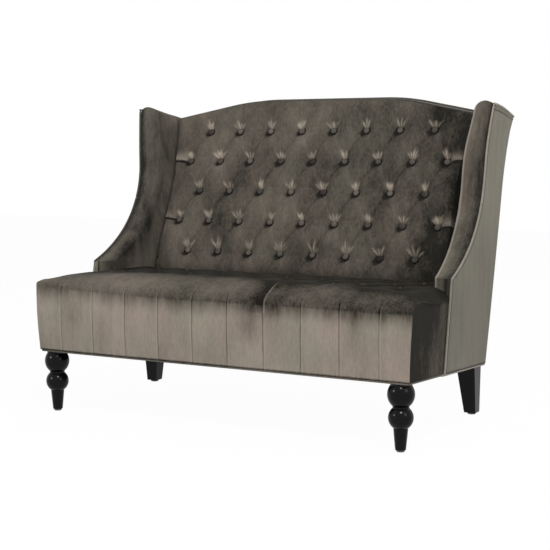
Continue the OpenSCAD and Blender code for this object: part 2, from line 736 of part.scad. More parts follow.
// Up the side panel's front edge to the knee, up the wing's front and back along its top
wing_welt_path = let (rear = full_rear(wing_h), x1 = wing_out(wing_h), low = hem(-knee_front) + welt_r)
    concat(
    [for (i = [0 : 3]) let (z = low + i * (knee_h - low) / 3) [wing_out(z), ear_y(z), z]],
    [for (p = wing_front) if (p[1] > knee_h + 3 * welt_r && p[1] < wing_h - 1)
        [wing_out(p[1]), p[0], lift(wing_out(p[1]), p[0], p[1])]],
    [for (i = [0 : stations]) let (y = corner_back + i * (rear - corner_back) / stations)
        [x1, y, top_welt_z(x1, y)]]);

module wing_welt() { color(velvet) piping(wing_welt_path, n = 6); }

module wing_welt_right() { wing_welt(); }

module wing_welt_left() { mirror([1, 0, 0]) wing_welt(); }

// Base piping: under the seat's cloth at the front, stepping out under the side panels behind it
hem_x = half_w + cover_t / 2;
panel_hem_x = wing_out(0) - welt_r;
hem_back = back_foot - cover_t / 2;
step_y = ear_y(hem(-knee_front));
hem_path = [[hem_x, -frame_front - cover_t / 2], [hem_x, step_y - 4 * welt_r],
    [panel_hem_x, step_y], [panel_hem_x, hem_back]];
function hem_point(side, p) = [side * p[0], p[1], under(p[1]) + welt_r];
module bottom_welt() {
    color(velvet) piping(concat([for (p = hem_path) hem_point(1, p)],
        [for (i = [len(hem_path) - 1 : -1 : 0]) hem_point(-1, hem_path[i])]), closed = true);
}

module back_welt() {
    reach = half_w - 10;
    color(velvet) piping([for (i = [-14 : 14]) let (x = i * reach / 14, z = camel_z(x))
        [x, back_y(z) - cover_t / 2, z + welt_r + gap]], n = 6);
}

module dust_cover() {
    y1 = -frame_front + 2;
    y2 = hem_back - 6;
    x1 = half_w - 2;
    color("dimgray") difference() {
        side_board([[y1, under(y1) - 1], [y2, under(y2) - 1], [y2, under(y2)], [y1, under(y1)]], -x1, x1);
        both_sides() {
            translate([front_leg_x - collar_r - 1, -frame_front - 1, 0])
                cube([2 * collar_r + 20, frame_front - front_leg_y + collar_r + 2, back_h]);
            translate([rear_leg_x - rear_leg_w / 2 - 1, rear_leg_y - rear_leg_w / 2 - 1, 0])
                cube([rear_leg_w + 2, rear_leg_w + 2, back_h]);
        }
    }
}

/* Feet */

collar_r = 30;
neck_r = 23;
shaft_top_r = 20.7;
ball_z = 94;
knob_z = leg_h - 32;
knob_arc = 43;
bolt_in_leg = 45;

// Half outline of a front leg: tapered shaft, ball, neck, knob and collar
module front_leg_outline() {
    intersection() {
        translate([0, glide_h]) square([2 * knob_arc, leg_h]);
        union() {
            polygon([[0, glide_h], [foot_r, glide_h], [shaft_top_r, ball_z - ball_r + 7], [0, ball_z]]);
            translate([0, ball_z]) circle(ball_r, $fn = 64);
            translate([0, ball_z]) square([neck_r, knob_z - ball_z]);
            translate([knob_r - knob_arc, knob_z]) circle(knob_arc, $fn = 64);
            translate([0, knob_z]) square([collar_r, leg_h - knob_z + 10]);
        }
    }
}

module below_base() {
    translate([0, 0, leg_h]) side_board([[-frame_front - 60, under(-frame_front - 60) - leg_h],
        [back_foot + 60, under(back_foot + 60) - leg_h], [back_foot + 60, -2 * leg_h],
        [-frame_front - 60, -2 * leg_h]], half_w - 200, half_w + 100);
}

module front_leg() {
    color(leg_black) difference() {
        intersection() {
            translate([front_leg_x, -front_leg_y, 0]) rotate_extrude($fn = 96) front_leg_outline();
            below_base();
        }
        translate([front_bolt_x, -front_bolt_y, under(-front_bolt_y) - bolt_in_leg])
            cylinder(r = bolt_r + 0.05, h = leg_h, $fn = 48);
    }
}

module front_leg_right() { front_leg(); }

module front_leg_left() { mirror([1, 0, 0]) front_leg(); }

foot_in = 2;
rear_foot_x = rear_leg_x + rear_leg_w / 2 - rear_foot_w / 2 - foot_in;
rear_foot_y = rear_leg_y + rear_leg_w / 2 - rear_foot_w / 2 - foot_in;
module rear_leg() {
    top = under(rear_leg_y) + 6;
    color(leg_black) difference() {
        intersection() {
            hull() {
                translate([rear_leg_x, rear_leg_y, top]) cube([rear_leg_w, rear_leg_w, 0.1], center = true);
                translate([rear_foot_x, rear_foot_y, glide_h + 0.05])
                    cube([rear_foot_w, rear_foot_w, 0.1], center = true);
            }
            below_base();
        }
        translate([rear_bolt_x, rear_bolt_y, under(rear_bolt_y) - bolt_in_leg])
            cylinder(r = bolt_r + 0.05, h = leg_h, $fn = 48);
    }
}

module rear_leg_right() { rear_leg(); }

module rear_leg_left() { mirror([1, 0, 0]) rear_leg(); }

bolt_above = 8;
module hanger_bolt(x, y) {
    translate([x, y, under(y) - bolt_in_leg + 1]) cylinder(r = bolt_r, h = bolt_in_leg + block_h + bolt_above, $fn = 48);
}

module hanger_bolts() {
    color(steel) both_sides() {
        hanger_bolt(front_bolt_x, -front_bolt_y);
        hanger_bolt(rear_bolt_x, rear_bolt_y);
    }
}

nut_r = 8.5;
nut_t = 4;
module tee_nut(x, y) {
    translate([x, y, under(y) + block_h]) difference() {
        cylinder(r = nut_r, h = nut_t, $fn = 48);
        translate([0, 0, -1]) cylinder(r = bolt_r + 0.05, h = nut_t + 2, $fn = 48);
    }
}

module tee_nuts() {
    color(steel) both_sides() {
        tee_nut(front_bolt_x, -front_bolt_y);
        tee_nut(rear_bolt_x, rear_bolt_y);
    }
}

module leg_glide(x, y, r) {
    translate([x, y, 0]) rotate_extrude($fn = 48)
        polygon([[0, 0], [r - 2, 0], [r, 2], [r, glide_h], [0, glide_h]]);
}

module leg_glides() {
    color("gray") both_sides() {
        leg_glide(front_leg_x, -front_leg_y, foot_r - 3);
        leg_glide(rear_foot_x, rear_foot_y, rear_foot_w / 2 - 5);
    }
}

front_rail();
rear_rail();
side_frame_left();
side_frame_right();
center_rail();
corner_blocks();
back_post_left();
back_post_right();
back_top_rail();
back_lower_rail();
back_center_stile();
seat_springs();
spring_clips();
spring_ties();
spring_deck();
back_webbing();
seat_pad();
back_pad();
wing_pad_left();
wing_pad_right();
side_panel_left();
side_panel_right();
outside_back_panel();
back_buttons();
wing_welt_left();
wing_welt_right();
bottom_welt();
back_welt();
dust_cover();
front_leg_left();
front_leg_right();
rear_leg_left();
rear_leg_right();
hanger_bolts();
tee_nuts();
leg_glides();
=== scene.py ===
import math

import bmesh
import bpy
import numpy as np
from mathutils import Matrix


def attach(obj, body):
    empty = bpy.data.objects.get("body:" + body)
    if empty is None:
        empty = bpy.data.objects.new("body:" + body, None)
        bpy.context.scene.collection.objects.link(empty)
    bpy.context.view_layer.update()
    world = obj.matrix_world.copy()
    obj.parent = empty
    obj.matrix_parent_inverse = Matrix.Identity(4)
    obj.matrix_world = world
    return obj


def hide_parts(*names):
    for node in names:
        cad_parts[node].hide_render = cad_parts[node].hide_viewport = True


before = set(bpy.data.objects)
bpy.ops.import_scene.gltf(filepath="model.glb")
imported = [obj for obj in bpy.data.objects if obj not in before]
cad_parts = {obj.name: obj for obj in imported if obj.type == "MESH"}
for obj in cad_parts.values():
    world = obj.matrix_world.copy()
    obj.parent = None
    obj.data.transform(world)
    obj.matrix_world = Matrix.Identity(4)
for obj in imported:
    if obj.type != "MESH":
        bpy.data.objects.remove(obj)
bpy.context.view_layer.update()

# Sizes of the loveseat in millimetres, in the frame of the CAD model

MM = 0.001
GAP = 0.3
HALF_WIDTH = 610.0
BACK_FOOT = 209.0
BACK_REACH = 414.0
BACK_HEIGHT = 984.0
WING_HEIGHT = 944.0
RAIL_TOP = 285.0
LEG_HEIGHT = 190.0
BASE_FALL = 0.06
COVER = 8.0
PANEL = 14.0
FRONT_FACE = 408.0
SPRING_CLIP = 2
SPRING_WIRE = 4
DECK_CLOTH = 3
SEAT_FLOOR = RAIL_TOP + SPRING_CLIP + SPRING_WIRE + GAP + DECK_CLOTH + GAP
SEAT_SIDE_HEIGHT = 420.0
SEAT_CROWN = 441.0
SEAT_FRONT = 398.0
SEAT_REST = 400.0
SEAT_SIDE = 618.0
CROWN_Y = -290.0
SEAT_ROWS_Y = -232.0
SEAT_ROW_PITCH = 92.0
TUFT_PITCH = 118.0
ROW_PITCH = 108.0
ROW_COUNT = 5
FIRST_ROW_HEIGHT = 471.0
FIRST_ROW_Y = 149.0
BACK_DEPTH = 63.0
PUFF = 30.0
PAD_BACK = 22.0
KNEE_Y = -108.0
KNEE_HEIGHT = 449.0
CORNER_BACK = 193.0
BAND_THICKNESS = 10.0
BAND_ROUND = 30.0
EDGE_CUT = 6.8
PLATE_IN = 592.0
PANEL_IN = HALF_WIDTH + GAP
WELT_RADIUS = 3.0
STRETCH_Z = WING_HEIGHT - 70
POST_TOP = STRETCH_Z - 4
PLATE_TOP = WING_HEIGHT - 14
TOP_RAIL_ROOM = 16.0
RAKE = math.atan((BACK_REACH - BACK_DEPTH - FIRST_ROW_Y) / (BACK_HEIGHT - FIRST_ROW_HEIGHT))
SIN_RAKE = math.sin(RAKE)
COS_RAKE = math.cos(RAKE)
PAD_SET = PAD_BACK / COS_RAKE
BACK_FLAT = 500.0
TOP_ROLL = 14.0
BUTTON_REACH = 9.0
SIDE_COLUMNS = 14
TOP_ROWS = 12
ROLL_Y = 20 - FRONT_FACE
SEAT_BREAK = -112.0
FACE_ROWS = 34
ROLL_ROWS = 8

# How the velvet of the back is settled: grid spacing, padding pressure, slack, frames, greatest move,
# start below the puffs' faces, and how much flatter the puffs are before the moves are added

CLOTH_STEP = 4.6
CLOTH_PRESSURE = 3.0
CLOTH_SLACK = 0.014
CLOTH_FRAMES = 16
CLOTH_MOVE = 9.0
CLOTH_LOW = 5.0
PUFF_LOW = 3.0


# Lines and surfaces that several pieces share

def under(y):
    """Height of the base's sloping underside at distance y behind the centre."""
    return LEG_HEIGHT - BASE_FALL * (y + FRONT_FACE)


def hem(y):
    """Lower edge of the cloth, one piping and a gap above the underside."""
    return under(y) + 2 * WELT_RADIUS + GAP


def back_y(z):
    """Outside back in side view: a quadratic Bezier curve, solved for its height z."""
    low = under(BACK_FOOT)
    a = low - 960 + BACK_HEIGHT
    b = 2 * (480 - low)
    t = (np.sqrt(b * b + 4 * a * (z - low)) - b) / (2 * a)
    return BACK_FOOT * (1 - t) ** 2 + 600 * t * (1 - t) + BACK_REACH * t ** 2


def rear_face(z):
    """Face of the timber behind which the outside back is stretched."""
    return back_y(z) - COVER - GAP


def plane_y(z):
    """Leaning plane in which the buttons are fixed."""
    return FIRST_ROW_Y + (z - FIRST_ROW_HEIGHT) * math.tan(RAKE)


def on_plane(x, n, s):
    """Point at x across, s up the leaning plane and n square in front of it."""
    return np.stack(np.broadcast_arrays(
        x, FIRST_ROW_Y + s * SIN_RAKE - n * COS_RAKE, FIRST_ROW_HEIGHT + s * COS_RAKE + n * SIN_RAKE), -1)


def camel_z(x):
    """Camel top: flat to 200 mm from the middle, an eased bend, then a straight fall of one in five."""
    a = np.maximum(np.abs(x) - 200, 0)
    return BACK_HEIGHT - np.where(a < 150, 0.2 * a * a / 300, 0.2 * (a - 75))


def bezier(points, t):
    """Point on the Bezier curve of any degree at share t, by repeated mixing of neighbours."""
    layers = [np.asarray(p, float)[None, :] + 0 * t[:, None] for p in points]
    while len(layers) > 1:
        layers = [a * (1 - t[:, None]) + b * t[:, None] for a, b in zip(layers, layers[1:])]
    return layers[0]


def wing_front_line(low, high):
    """Front edge of a wing as (y, z): an S curve from the knee to the shoulder, then a short bend."""
    knee, shoulder = np.array([KNEE_Y, KNEE_HEIGHT]), np.array([167.0, 771.0])
    first = bezier([knee, knee + [138, 51], shoulder - [7, 171], shoulder], np.linspace(0, 1, low))
    last = bezier([shoulder, shoulder + [3, 80], [CORNER_BACK, WING_HEIGHT]], np.linspace(0, 1, high))
    return np.concatenate([first, last[1:]])


WING_LINE = wing_front_line(200, 120)


def front_at(z):
    """Front edge of a wing at height z."""
    return np.interp(z, WING_LINE[:, 1], WING_LINE[:, 0])


def ear_y(z):
    """Front edge of the side panel below the knee, slanting forward to the hem."""
    return KNEE_Y - (KNEE_HEIGHT - z) * 49 / 269


def wing_out(z):
    """Outer face of a wing, flaring outward over its top 250 mm."""
    return HALF_WIDTH + PANEL + 17 * np.maximum(0, (z - WING_HEIGHT + 250) / 250) ** 2


def wing_in(z):
    """Inner edge of the padded band: up to 9 mm fuller at mid height, and drawn back towards the knee."""
    share = np.maximum(z - 600, 0) / 344
    fuller = 4.5 * (1 - np.cos(2 * np.pi * share))
    low = 17 * (np.maximum(600 - z, 0) / 159) ** 1.6
    return 548 + 24 * share ** 2 - fuller + low


def crease_at(z):
    """Distance from the middle to the crease between the back and a wing."""
    return 526 + 32 * (np.maximum(0, z - 640) / 290) ** 2 + 5 * np.maximum(0, 640 - z) / 220


def crease_y(z):
    """The crease lies a little behind the button plane."""
    return plane_y(z) + 13


def wing_top(x, y):
    """Top of a wing: it falls towards the back and swells over the band."""
    fall = 28 * np.maximum(0, (y - CORNER_BACK) / 200) ** 2
    swell = 20 * np.maximum(0, 1 - ((np.abs(x) - HALF_WIDTH) / 40) ** 2)
    return WING_HEIGHT - fall + swell * np.clip(1 - (y - CORNER_BACK) / 150, 0, 1)


def lift(x, y, z):
    """Heights in the wing's top 70 mm are stretched so that they meet its top."""
    share = (z - STRETCH_Z) / (WING_HEIGHT - STRETCH_Z)
    return np.where(z <= STRETCH_Z, z, STRETCH_Z + share * (wing_top(x, y) - STRETCH_Z))


def lowered(z):
    """Rear height of a wing ring that starts at height z."""
    return lift(HALF_WIDTH, rear_face(np.minimum(z, WING_HEIGHT - 20)), z)


def smooth(t):
    """Eases from 0 to 1 with level ends."""
    t = np.clip(t, 0, 1)
    return t * t * (3 - 2 * t)


# Meshes from arrays of points

def finish_mesh(name, points, faces, nap=None, sharp=60):
    """Makes an object of points in millimetres, with doubled points joined and faces pointing out."""
    mesh = bpy.data.meshes.new(name)
    mesh.from_pydata((np.asarray(points) * MM).tolist(), [], np.asarray(faces).tolist())
    if nap is not None:
        # Per-point value: the pile's own tone together with painted shade and painted light.
        layer = mesh.attributes.new("nap", "FLOAT", "POINT")
        layer.data.foreach_set("value", np.asarray(nap, np.float32).ravel())
    form = bmesh.new()
    form.from_mesh(mesh)
    bmesh.ops.remove_doubles(form, verts=form.verts, dist=1e-5)
    bmesh.ops.recalc_face_normals(form, faces=form.faces)
    form.to_mesh(mesh)
    form.free()
    mesh.polygons.foreach_set("use_smooth", np.ones(len(mesh.polygons), bool))
    mesh.set_sharp_from_angle(angle=math.radians(sharp))
    piece = bpy.data.objects.new(name, mesh)
    bpy.context.scene.collection.objects.link(piece)
    return piece


def grid_faces(rows, columns, wrap):
    """Quads between neighbouring rows, each row closed into a ring where wrap is true."""
    r = np.arange(rows - 1)[:, None] * columns
    c = np.arange(columns if wrap else columns - 1)[None, :]
    d = (c + 1) % columns
    return np.stack([r + c, r + d, r + columns + d, r + columns + c], -1).reshape(-1, 4)


def shell(name, shown, hidden, nap=None, sharp=60, hidden_nap=None):
    """Closed skin over stations: each ring runs out along the shown line and back along the hidden one.
    The two end rings are closed by quads that join point j of one line to point j of the other."""
    n, m = shown.shape[:2]
    rings = np.concatenate([shown, hidden[:, ::-1]], 1)
    faces = grid_faces(n, 2 * m, True)
    j = np.arange(m - 1)
    cap = np.stack([j, j + 1, 2 * m - 2 - j, 2 * m - 1 - j], -1)
    faces = np.concatenate([faces, cap[:, ::-1], cap + (n - 1) * 2 * m])
    if nap is not None:
        nap = np.concatenate([nap, (nap if hidden_nap is None else hidden_nap)[:, ::-1]], 1)
    return finish_mesh(name, rings.reshape(-1, 3), faces, nap, sharp)


def tube(name, path, radius, sides=12, closed=False, nap=0.2):
    """Round section carried along a path, square to it at every point."""
    path = np.asarray(path, float)
    if closed:
        run = np.roll(path, -1, 0) - np.roll(path, 1, 0)
    else:
        run = np.gradient(path, axis=0)
    run /= np.linalg.norm(run, axis=1)[:, None]
    up = np.where(np.abs(run[:, 2:]) > 0.9, [[1.0, 0, 0]], [[0, 0, 1.0]])
    side = np.cross(run, up)
    side /= np.linalg.norm(side, axis=1)[:, None]
    over = np.cross(side, run)
    a = np.linspace(0, 2 * np.pi, sides, endpoint=False)[None, :, None]
    rings = path[:, None] + radius * (side[:, None] * np.cos(a) + over[:, None] * np.sin(a))
    if closed:
        rings = np.concatenate([rings, rings[:1]])
        faces = grid_faces(len(rings), sides, True)
    else:
        centre = [path[:1, None] + 0 * rings[:1], path[-1:, None] + 0 * rings[:1]]
        rings = np.concatenate([centre[0], rings, centre[1]])
        faces = grid_faces(len(rings), sides, True)
    return finish_mesh(name, rings.reshape(-1, 3), faces, np.broadcast_to(nap, rings.shape[:2]))


def mirrored(name, points, *rest, **more):
    """The same shell on the left, with x turned round."""
    flip = np.array([-1.0, 1, 1])
    return shell(name, points[0] * flip, points[1] * flip, *rest, **more)


# Cloth simulation

def thin(places, gap):
    """Indices of places that lie at least a gap apart, with the first and the last."""
    kept = [0]
    for k in range(1, len(places) - 1):
        if abs(places[k] - places[kept[-1]]) >= gap and abs(places[-1] - places[k]) >= gap:
            kept.append(k)
    return np.array(kept + [len(places) - 1])


def settled(points, held, pressure, slack, frames, cap):
    """Moves of a grid of velvet, in millimetres, after its padding has pushed it out for some frames.
    The cloth is cut a little larger than the grid by its slack, and held points stay where they are."""
    rows, columns = points.shape[:2]
    mesh = bpy.data.meshes.new("cloth_grid")
    faces = grid_faces(rows, columns, False)[:, ::-1]
    mesh.from_pydata((points.reshape(-1, 3) * MM).tolist(), [], faces.tolist())
    piece = bpy.data.objects.new("cloth_grid", mesh)
    bpy.context.scene.collection.objects.link(piece)
    pins = piece.vertex_groups.new(name="held")
    pins.add(np.flatnonzero(held.ravel()).tolist(), 1.0, "REPLACE")
    cloth_modifier = piece.modifiers.new("velvet", "CLOTH")
    values = cloth_modifier.settings
    values.quality = 5
    values.mass = 0.2
    values.tension_stiffness = 20
    values.compression_stiffness = 20
    values.shear_stiffness = 5
    values.bending_stiffness = 0.3
    values.vertex_group_mass = "held"
    values.use_pressure = True
    values.uniform_pressure_force = pressure
    values.shrink_min = -slack
    values.effector_weights.gravity = 0
    cloth_modifier.collision_settings.use_collision = False
    for frame_number in range(1, frames + 1):
        bpy.context.scene.frame_set(frame_number)
    shaped = piece.evaluated_get(bpy.context.evaluated_depsgraph_get()).data
    after = np.empty(rows * columns * 3, np.float32)
    shaped.vertices.foreach_get("co", after)
    bpy.data.objects.remove(piece)
    bpy.data.meshes.remove(mesh)
    bpy.context.scene.frame_set(1)
    move = after.reshape(rows, columns, 3) / MM - points
    length = np.linalg.norm(move, axis=2, keepdims=True) + 1e-9
    return move * np.minimum(1, cap / length)


def spread(move, rows, columns, shape):
    """Moves known at some rows and columns of a grid, filled in straight between them."""
    along = np.array([np.interp(np.arange(shape[0]), rows, e) for e in np.eye(len(rows))])
    across = np.array([np.interp(np.arange(shape[1]), columns, e) for e in np.eye(len(columns))])
    return np.einsum("ia,ijk,jb->abk", along, move, across)


# Tufted back

def tuft(u, v):
    """Diamond tufts: creases lie where (u + v) / 2 or (u - v) / 2 is whole, and buttons where both are."""
    a = (u + v) / 2 * np.pi
    b = (u - v) / 2 * np.pi
    return np.abs(np.sin(a) * np.sin(b)), (np.cos(a) * np.cos(b)) ** 2


def button_places():
    """x across and s up the plane of each button: rows of eight and nine in turn."""
    places = []
    for row in range(ROW_COUNT):
        count = 8 if row % 2 == 0 else 9
        for i in range(count):
            places.append(((i - (count - 1) / 2) * TUFT_PITCH, row * ROW_PITCH))
    return np.array(places)


def fans(x, s, places, rng):
    """Height and shading of the folds at each button: three to seven narrow ridges fan out above it at uneven
    angles and end after 30 to 50 mm, with one or two short ones below it. They are a little wider apart and
    longer on the back's lowest row. A flat fold runs out to the side from the outermost buttons. The shading
    is painted: lighter pile with a painted highlight along every ridge and over the fan's base, a painted
    shadow below and to the left of every button, and a painted highlight on each flat fold with a painted
    shadow under it."""
    height = np.zeros(x.shape)
    nap = np.zeros(x.shape)
    for bx, bs in places:
        dx, ds = x - bx, s - bs
        near = (np.abs(dx) < 62) & (np.abs(ds) < 62)
        dx, ds = dx[near], ds[near]
        r = np.hypot(dx, ds)
        angle = np.arctan2(dx, ds)
        count = rng.integers(3, 8)
        middle = rng.uniform(-0.15, 0.2)
        wider = 1.15 if bs == 0 else 1.0
        opening = rng.uniform(0.35, 0.75) * wider
        ridges = np.linspace(-opening, opening, count) + middle + rng.uniform(-0.06, 0.06, count)
        below = rng.uniform(2.2, 4.1, rng.integers(1, 3))
        for k, at in enumerate(np.concatenate([ridges, below])):
            up = k < count
            reach = (rng.uniform(26, 44) if up else rng.uniform(16, 24)) * wider
            wide = rng.uniform(0.05, 0.12)
            off = np.angle(np.exp(1j * (angle - at)))
            along = smooth((r - 5) / 6) * (1 - smooth((r - 0.5 * reach) / (0.6 * reach)))
            ridge = np.exp(-(off / wide) ** 2) * along
            height[near] += (3.6 if up else 2.2) * ridge
            # Lighter pile and a painted highlight along each ridge.
            nap[near] += (rng.uniform(0.8, 1.8) if up else 0.5) * ridge
        base = np.exp(-((angle - middle) / 0.6) ** 2) * smooth((r - 8) / 6) * (1 - smooth((r - 14) / 20))
        nap[near] += rng.uniform(0.3, 1.0) * base
        nap[near] += 0.8 * np.exp(-(r / 13) ** 4 - ((angle - middle) / 0.7) ** 2)
        # Painted shadow below and to the left of the button.
        painted_shadow = np.exp(-(((dx + 7) / 9) ** 2 + ((ds + 11) / 8) ** 2))
        nap[near] -= 0.9 * painted_shadow
    ends = places[np.abs(places[:, 0]) > 4 * TUFT_PITCH - 1]
    for bx, bs in ends:
        out = (x - bx) * np.sign(bx)
        above = (s - bs - rng.uniform(0, 3)) / rng.uniform(11, 24)
        strip = smooth((out - 4) / 14) * np.where(above > 0, np.exp(-above ** 2), np.exp(-(above * 6) ** 2))
        height += 3.5 * strip
        # Painted highlight on the flat fold, then a painted shadow under it.
        nap += rng.uniform(0.3, 0.85) * strip
        nap -= 0.9 * smooth((out - 4) / 14) * np.exp(-((above + 0.3) / 0.2) ** 2)
    return height, nap


def back_grid():
    """Columns and rows of the tufted back, closer round every button: x across, s up the plane."""
    across = [TUFT_PITCH / 2 * k + o for k in range(-8, 9)
              for o in np.concatenate([np.linspace(-17, 17, 15), [22, 27, 32, 37]])]
    across = np.array([-BACK_FLAT, -494.5] + across[:-4] + [494.5, BACK_FLAT])
    low = (SEAT_REST + GAP - FIRST_ROW_HEIGHT) / COS_RAKE
    up = [ROW_PITCH * k + o for k in range(ROW_COUNT)
          for o in np.concatenate([np.linspace(-14, 36, 22), np.linspace(36, 94, 12)[1:-1]])]
    up = np.concatenate([np.linspace(low, -14, 12)[:-1], up[:-10]])
    return across, up


def back_cover():
    """Tufted back. Its front is the leaning plane raised by puffs, with a narrow fold along each side of
    every diamond, a pocket round every button and fans of small folds at the buttons. Cloth simulation then
    pushes the puffs out between the buttons: it starts CLOTH_LOW below their faces, and its moves are added
    to puffs that are PUFF_LOW flatter. The top rolls back to the outside back, and the hidden side follows
    the webbing."""
    rng = np.random.default_rng(7)
    across, up = back_grid()
    share = np.linspace(0, 1, SIDE_COLUMNS + 1)[1:]
    side = np.full(SIDE_COLUMNS, BACK_FLAT)
    base = np.concatenate([-side, across, side])[:, None]
    beyond = np.concatenate([-share[::-1], np.zeros(len(across)), share])[:, None]
    z_up = FIRST_ROW_HEIGHT + up * COS_RAKE
    z_up = np.concatenate([z_up, np.full(TOP_ROWS, z_up[-1])])
    climb = np.concatenate([np.zeros(len(up)), np.linspace(0, 1, TOP_ROWS + 1)[1:]])
    turn = np.array([0.3, 0.6, 1, 1.4, 1.7, 2, 2.5, 3])
    shown_rows = len(z_up)
    top = camel_z(base + beyond * (crease_at(900) - GAP - BACK_FLAT))
    z_plane = z_up + climb * (top - TOP_ROLL - z_up)
    x = base + beyond * (crease_at(z_plane) - GAP - BACK_FLAT)
    top = camel_z(x)
    z_plane = z_up + climb * (top - TOP_ROLL - z_up)
    s = (z_plane - FIRST_ROW_HEIGHT) / COS_RAKE
    u, v = 2 * x / TUFT_PITCH, 1 + s / ROW_PITCH
    fold, pocket = tuft(np.clip(u, -8, 8), np.clip(v, 1, ROW_COUNT))
    past = np.clip(np.maximum(np.maximum(v - ROW_COUNT, 1 - v), np.abs(u) - 8) / 0.75, 0, 1)
    fold = (1 - fold ** 0.33) * (1 - 0.75 * smooth(past))
    places = button_places()
    r = np.full(x.shape, 1e6)
    for bx, bs in places:
        r = np.minimum(r, np.hypot(x - bx, (s - bs) * 1.05))
    dip = 20 * np.exp(-(r / 18) ** 1.9)
    fan_height, fan_shading = fans(x, s, places, rng)
    n = PUFF - 5.0 * fold - 3.0 * pocket * (1 - past) - dip
    swell = smooth((crease_at(z_plane) - GAP - np.abs(x)) / 9) ** 0.7
    n = -13 * COS_RAKE * (1 - swell) + n * swell
    n *= 0.75 + 0.25 * smooth((z_plane - z_up[0]) / 27)
    columns = thin(base[:, 0] + 30 * beyond[:, 0], CLOTH_STEP)
    rows = thin(s[len(s) // 2], CLOTH_STEP)
    held = (r < BUTTON_REACH) | (swell < 0.05)
    held[:, 0] = held[:, -1] = True
    cut = np.ix_(columns, rows)
    move = settled(on_plane(x, n - CLOTH_LOW, s)[cut], held[cut], CLOTH_PRESSURE, CLOTH_SLACK,
                   CLOTH_FRAMES, CLOTH_MOVE)
    shown = on_plane(x, n - PUFF_LOW * (r > BUTTON_REACH) + fan_height, s)
    shown += spread(move, columns, rows, x.shape)
    x, top = x[:, -1:], top[:, -1:]
    quarter = np.clip(turn / 2, 0, 1) * np.pi / 2
    reach = np.clip(turn - 2, 0, 1)
    roll_y = np.where(turn > 2, plane_y(top) + (rear_face(top - 1) - plane_y(top)) * reach,
                      plane_y(top) - n[:, -1:] * COS_RAKE * np.cos(quarter) * 0.86)
    roll_z = np.where(turn > 2, top - reach, top - TOP_ROLL * (1 - np.sin(quarter)))
    shown = np.concatenate([shown, np.stack([x + 0 * roll_y, roll_y, roll_z], -1)], 1)
    low = top - TOP_RAIL_ROOM + 1
    block = (np.arange(shown_rows) // 9) * 9
    rear_z = np.minimum(z_plane[:, block], low)
    rear_y = plane_y(rear_z) + PAD_SET
    last_y = plane_y(low) + PAD_SET
    last_y = np.where(turn > 2, last_y + (rear_face(low) - last_y) * reach, last_y)
    rear_y = np.concatenate([rear_y, last_y], 1)
    rear_z = np.concatenate([rear_z, low + 0 * turn], 1)
    hidden = np.stack([np.concatenate([shown[:, block, 0], x + 0 * turn], 1), rear_y, rear_z], -1)
    # Painted shade: darker towards the right wing, in every button pocket, along the rising creases, in the
    # crease beside each wing and over the top roll as it turns back; painted light along the falling creases.
    # The fans bring their own painted highlights and shadows.
    shaded = 0.34 * smooth((x - 300) / 160)
    rising = (1 - np.abs(np.sin((u - v) / 2 * np.pi)) ** 0.33) ** 2 * (1 - past)
    falling = (1 - np.abs(np.sin((u + v) / 2 * np.pi)) ** 0.33) ** 2 * (1 - past)
    nap = fan_shading - 0.9 * np.exp(-(r / 13) ** 4) - 0.25 * rising + 0.3 * falling - 0.4 * (1 - swell) - shaded
    nap = np.concatenate([nap, -0.2 - 0.8 * np.clip(turn - 0.8, 0, 1) + 0 * roll_y], 1)
    return shell("back_cover", shown, hidden, nap, 75)


def covered_buttons():
    """Buttons: a dome on a tapered back, spun round its own axis, in the plane's pockets."""
    t = np.linspace(0, np.pi / 2, 8)
    radius = np.concatenate([[0.0, 8.2, 10.1], 10.4 * np.cos(t[1:] - 0.12).clip(0, 1), [0.0]])
    level = np.concatenate([[GAP, 7.0, 10.2], 11.0 + 6.0 * np.sin(t[1:]), [17.0]])
    a = np.linspace(0, 2 * np.pi, 28, endpoint=False)
    points, faces, nap = [], [], []
    rng = np.random.default_rng(3)
    for k, (bx, bs) in enumerate(button_places()):
        tilt_x, tilt_s = rng.uniform(-0.1, 0.1, 2)
        x = bx + radius[:, None] * np.cos(a)
        s = bs + radius[:, None] * np.sin(a)
        lean = (x - bx) * tilt_x + (s - bs) * tilt_s
        ring = on_plane(x, level[:, None] + lean * (level[:, None] > 9), s)
        points.append(ring.reshape(-1, 3))
        faces.append(grid_faces(len(radius), len(a), True) + k * ring.shape[0] * ring.shape[1])
        # Each dome's top is lighter or darker by a random amount per button, mostly lighter: partly the
        # button's own tone, partly a painted highlight.
        face = np.clip((level[:, None] - 11) / 6, 0, 1) ** 1.5
        nap.append(np.full(ring.shape[:2], rng.uniform(-0.7, 1.0)) * face)
    return finish_mesh("covered_buttons", np.concatenate(points), np.concatenate(faces), np.concatenate(nap))


# Seat

def seat_dome(x):
    """Height of the crown across the seat, falling off with the cube towards the sides."""
    share = np.minimum(1, np.abs(x) / HALF_WIDTH) ** 3
    return SEAT_SIDE_HEIGHT + (SEAT_CROWN - SEAT_SIDE_HEIGHT) * (1 - share)


def seat_edge(x):
    """Height of the front edge: the padding stands fuller at the left and has settled at the right."""
    return SEAT_FRONT + 9 * smooth((-x - 150) / 420) - 3 * smooth((x - 380) / 200)


def seat_z(x, y):
    """Top of the seat: a sine roll up from the front edge, then a slow fall to the back."""
    dome = seat_dome(x)
    edge = seat_edge(x)
    roll = edge + (dome - edge) * np.sin(np.pi / 2 * (y + FRONT_FACE) / (CROWN_Y + FRONT_FACE))
    fall = dome + (SEAT_SIDE_HEIGHT - dome) * np.maximum(0, (y - CROWN_Y) / (86 - CROWN_Y)) ** 1.3
    return np.where(y < CROWN_Y, roll, fall)


def seam(x, sharpness):
    """0 between the sewn channels' seams, 1 on a seam; the seams lie half a pitch off the middle."""
    return 1 - np.abs(np.cos(np.pi * x / TUFT_PITCH)) ** sharpness


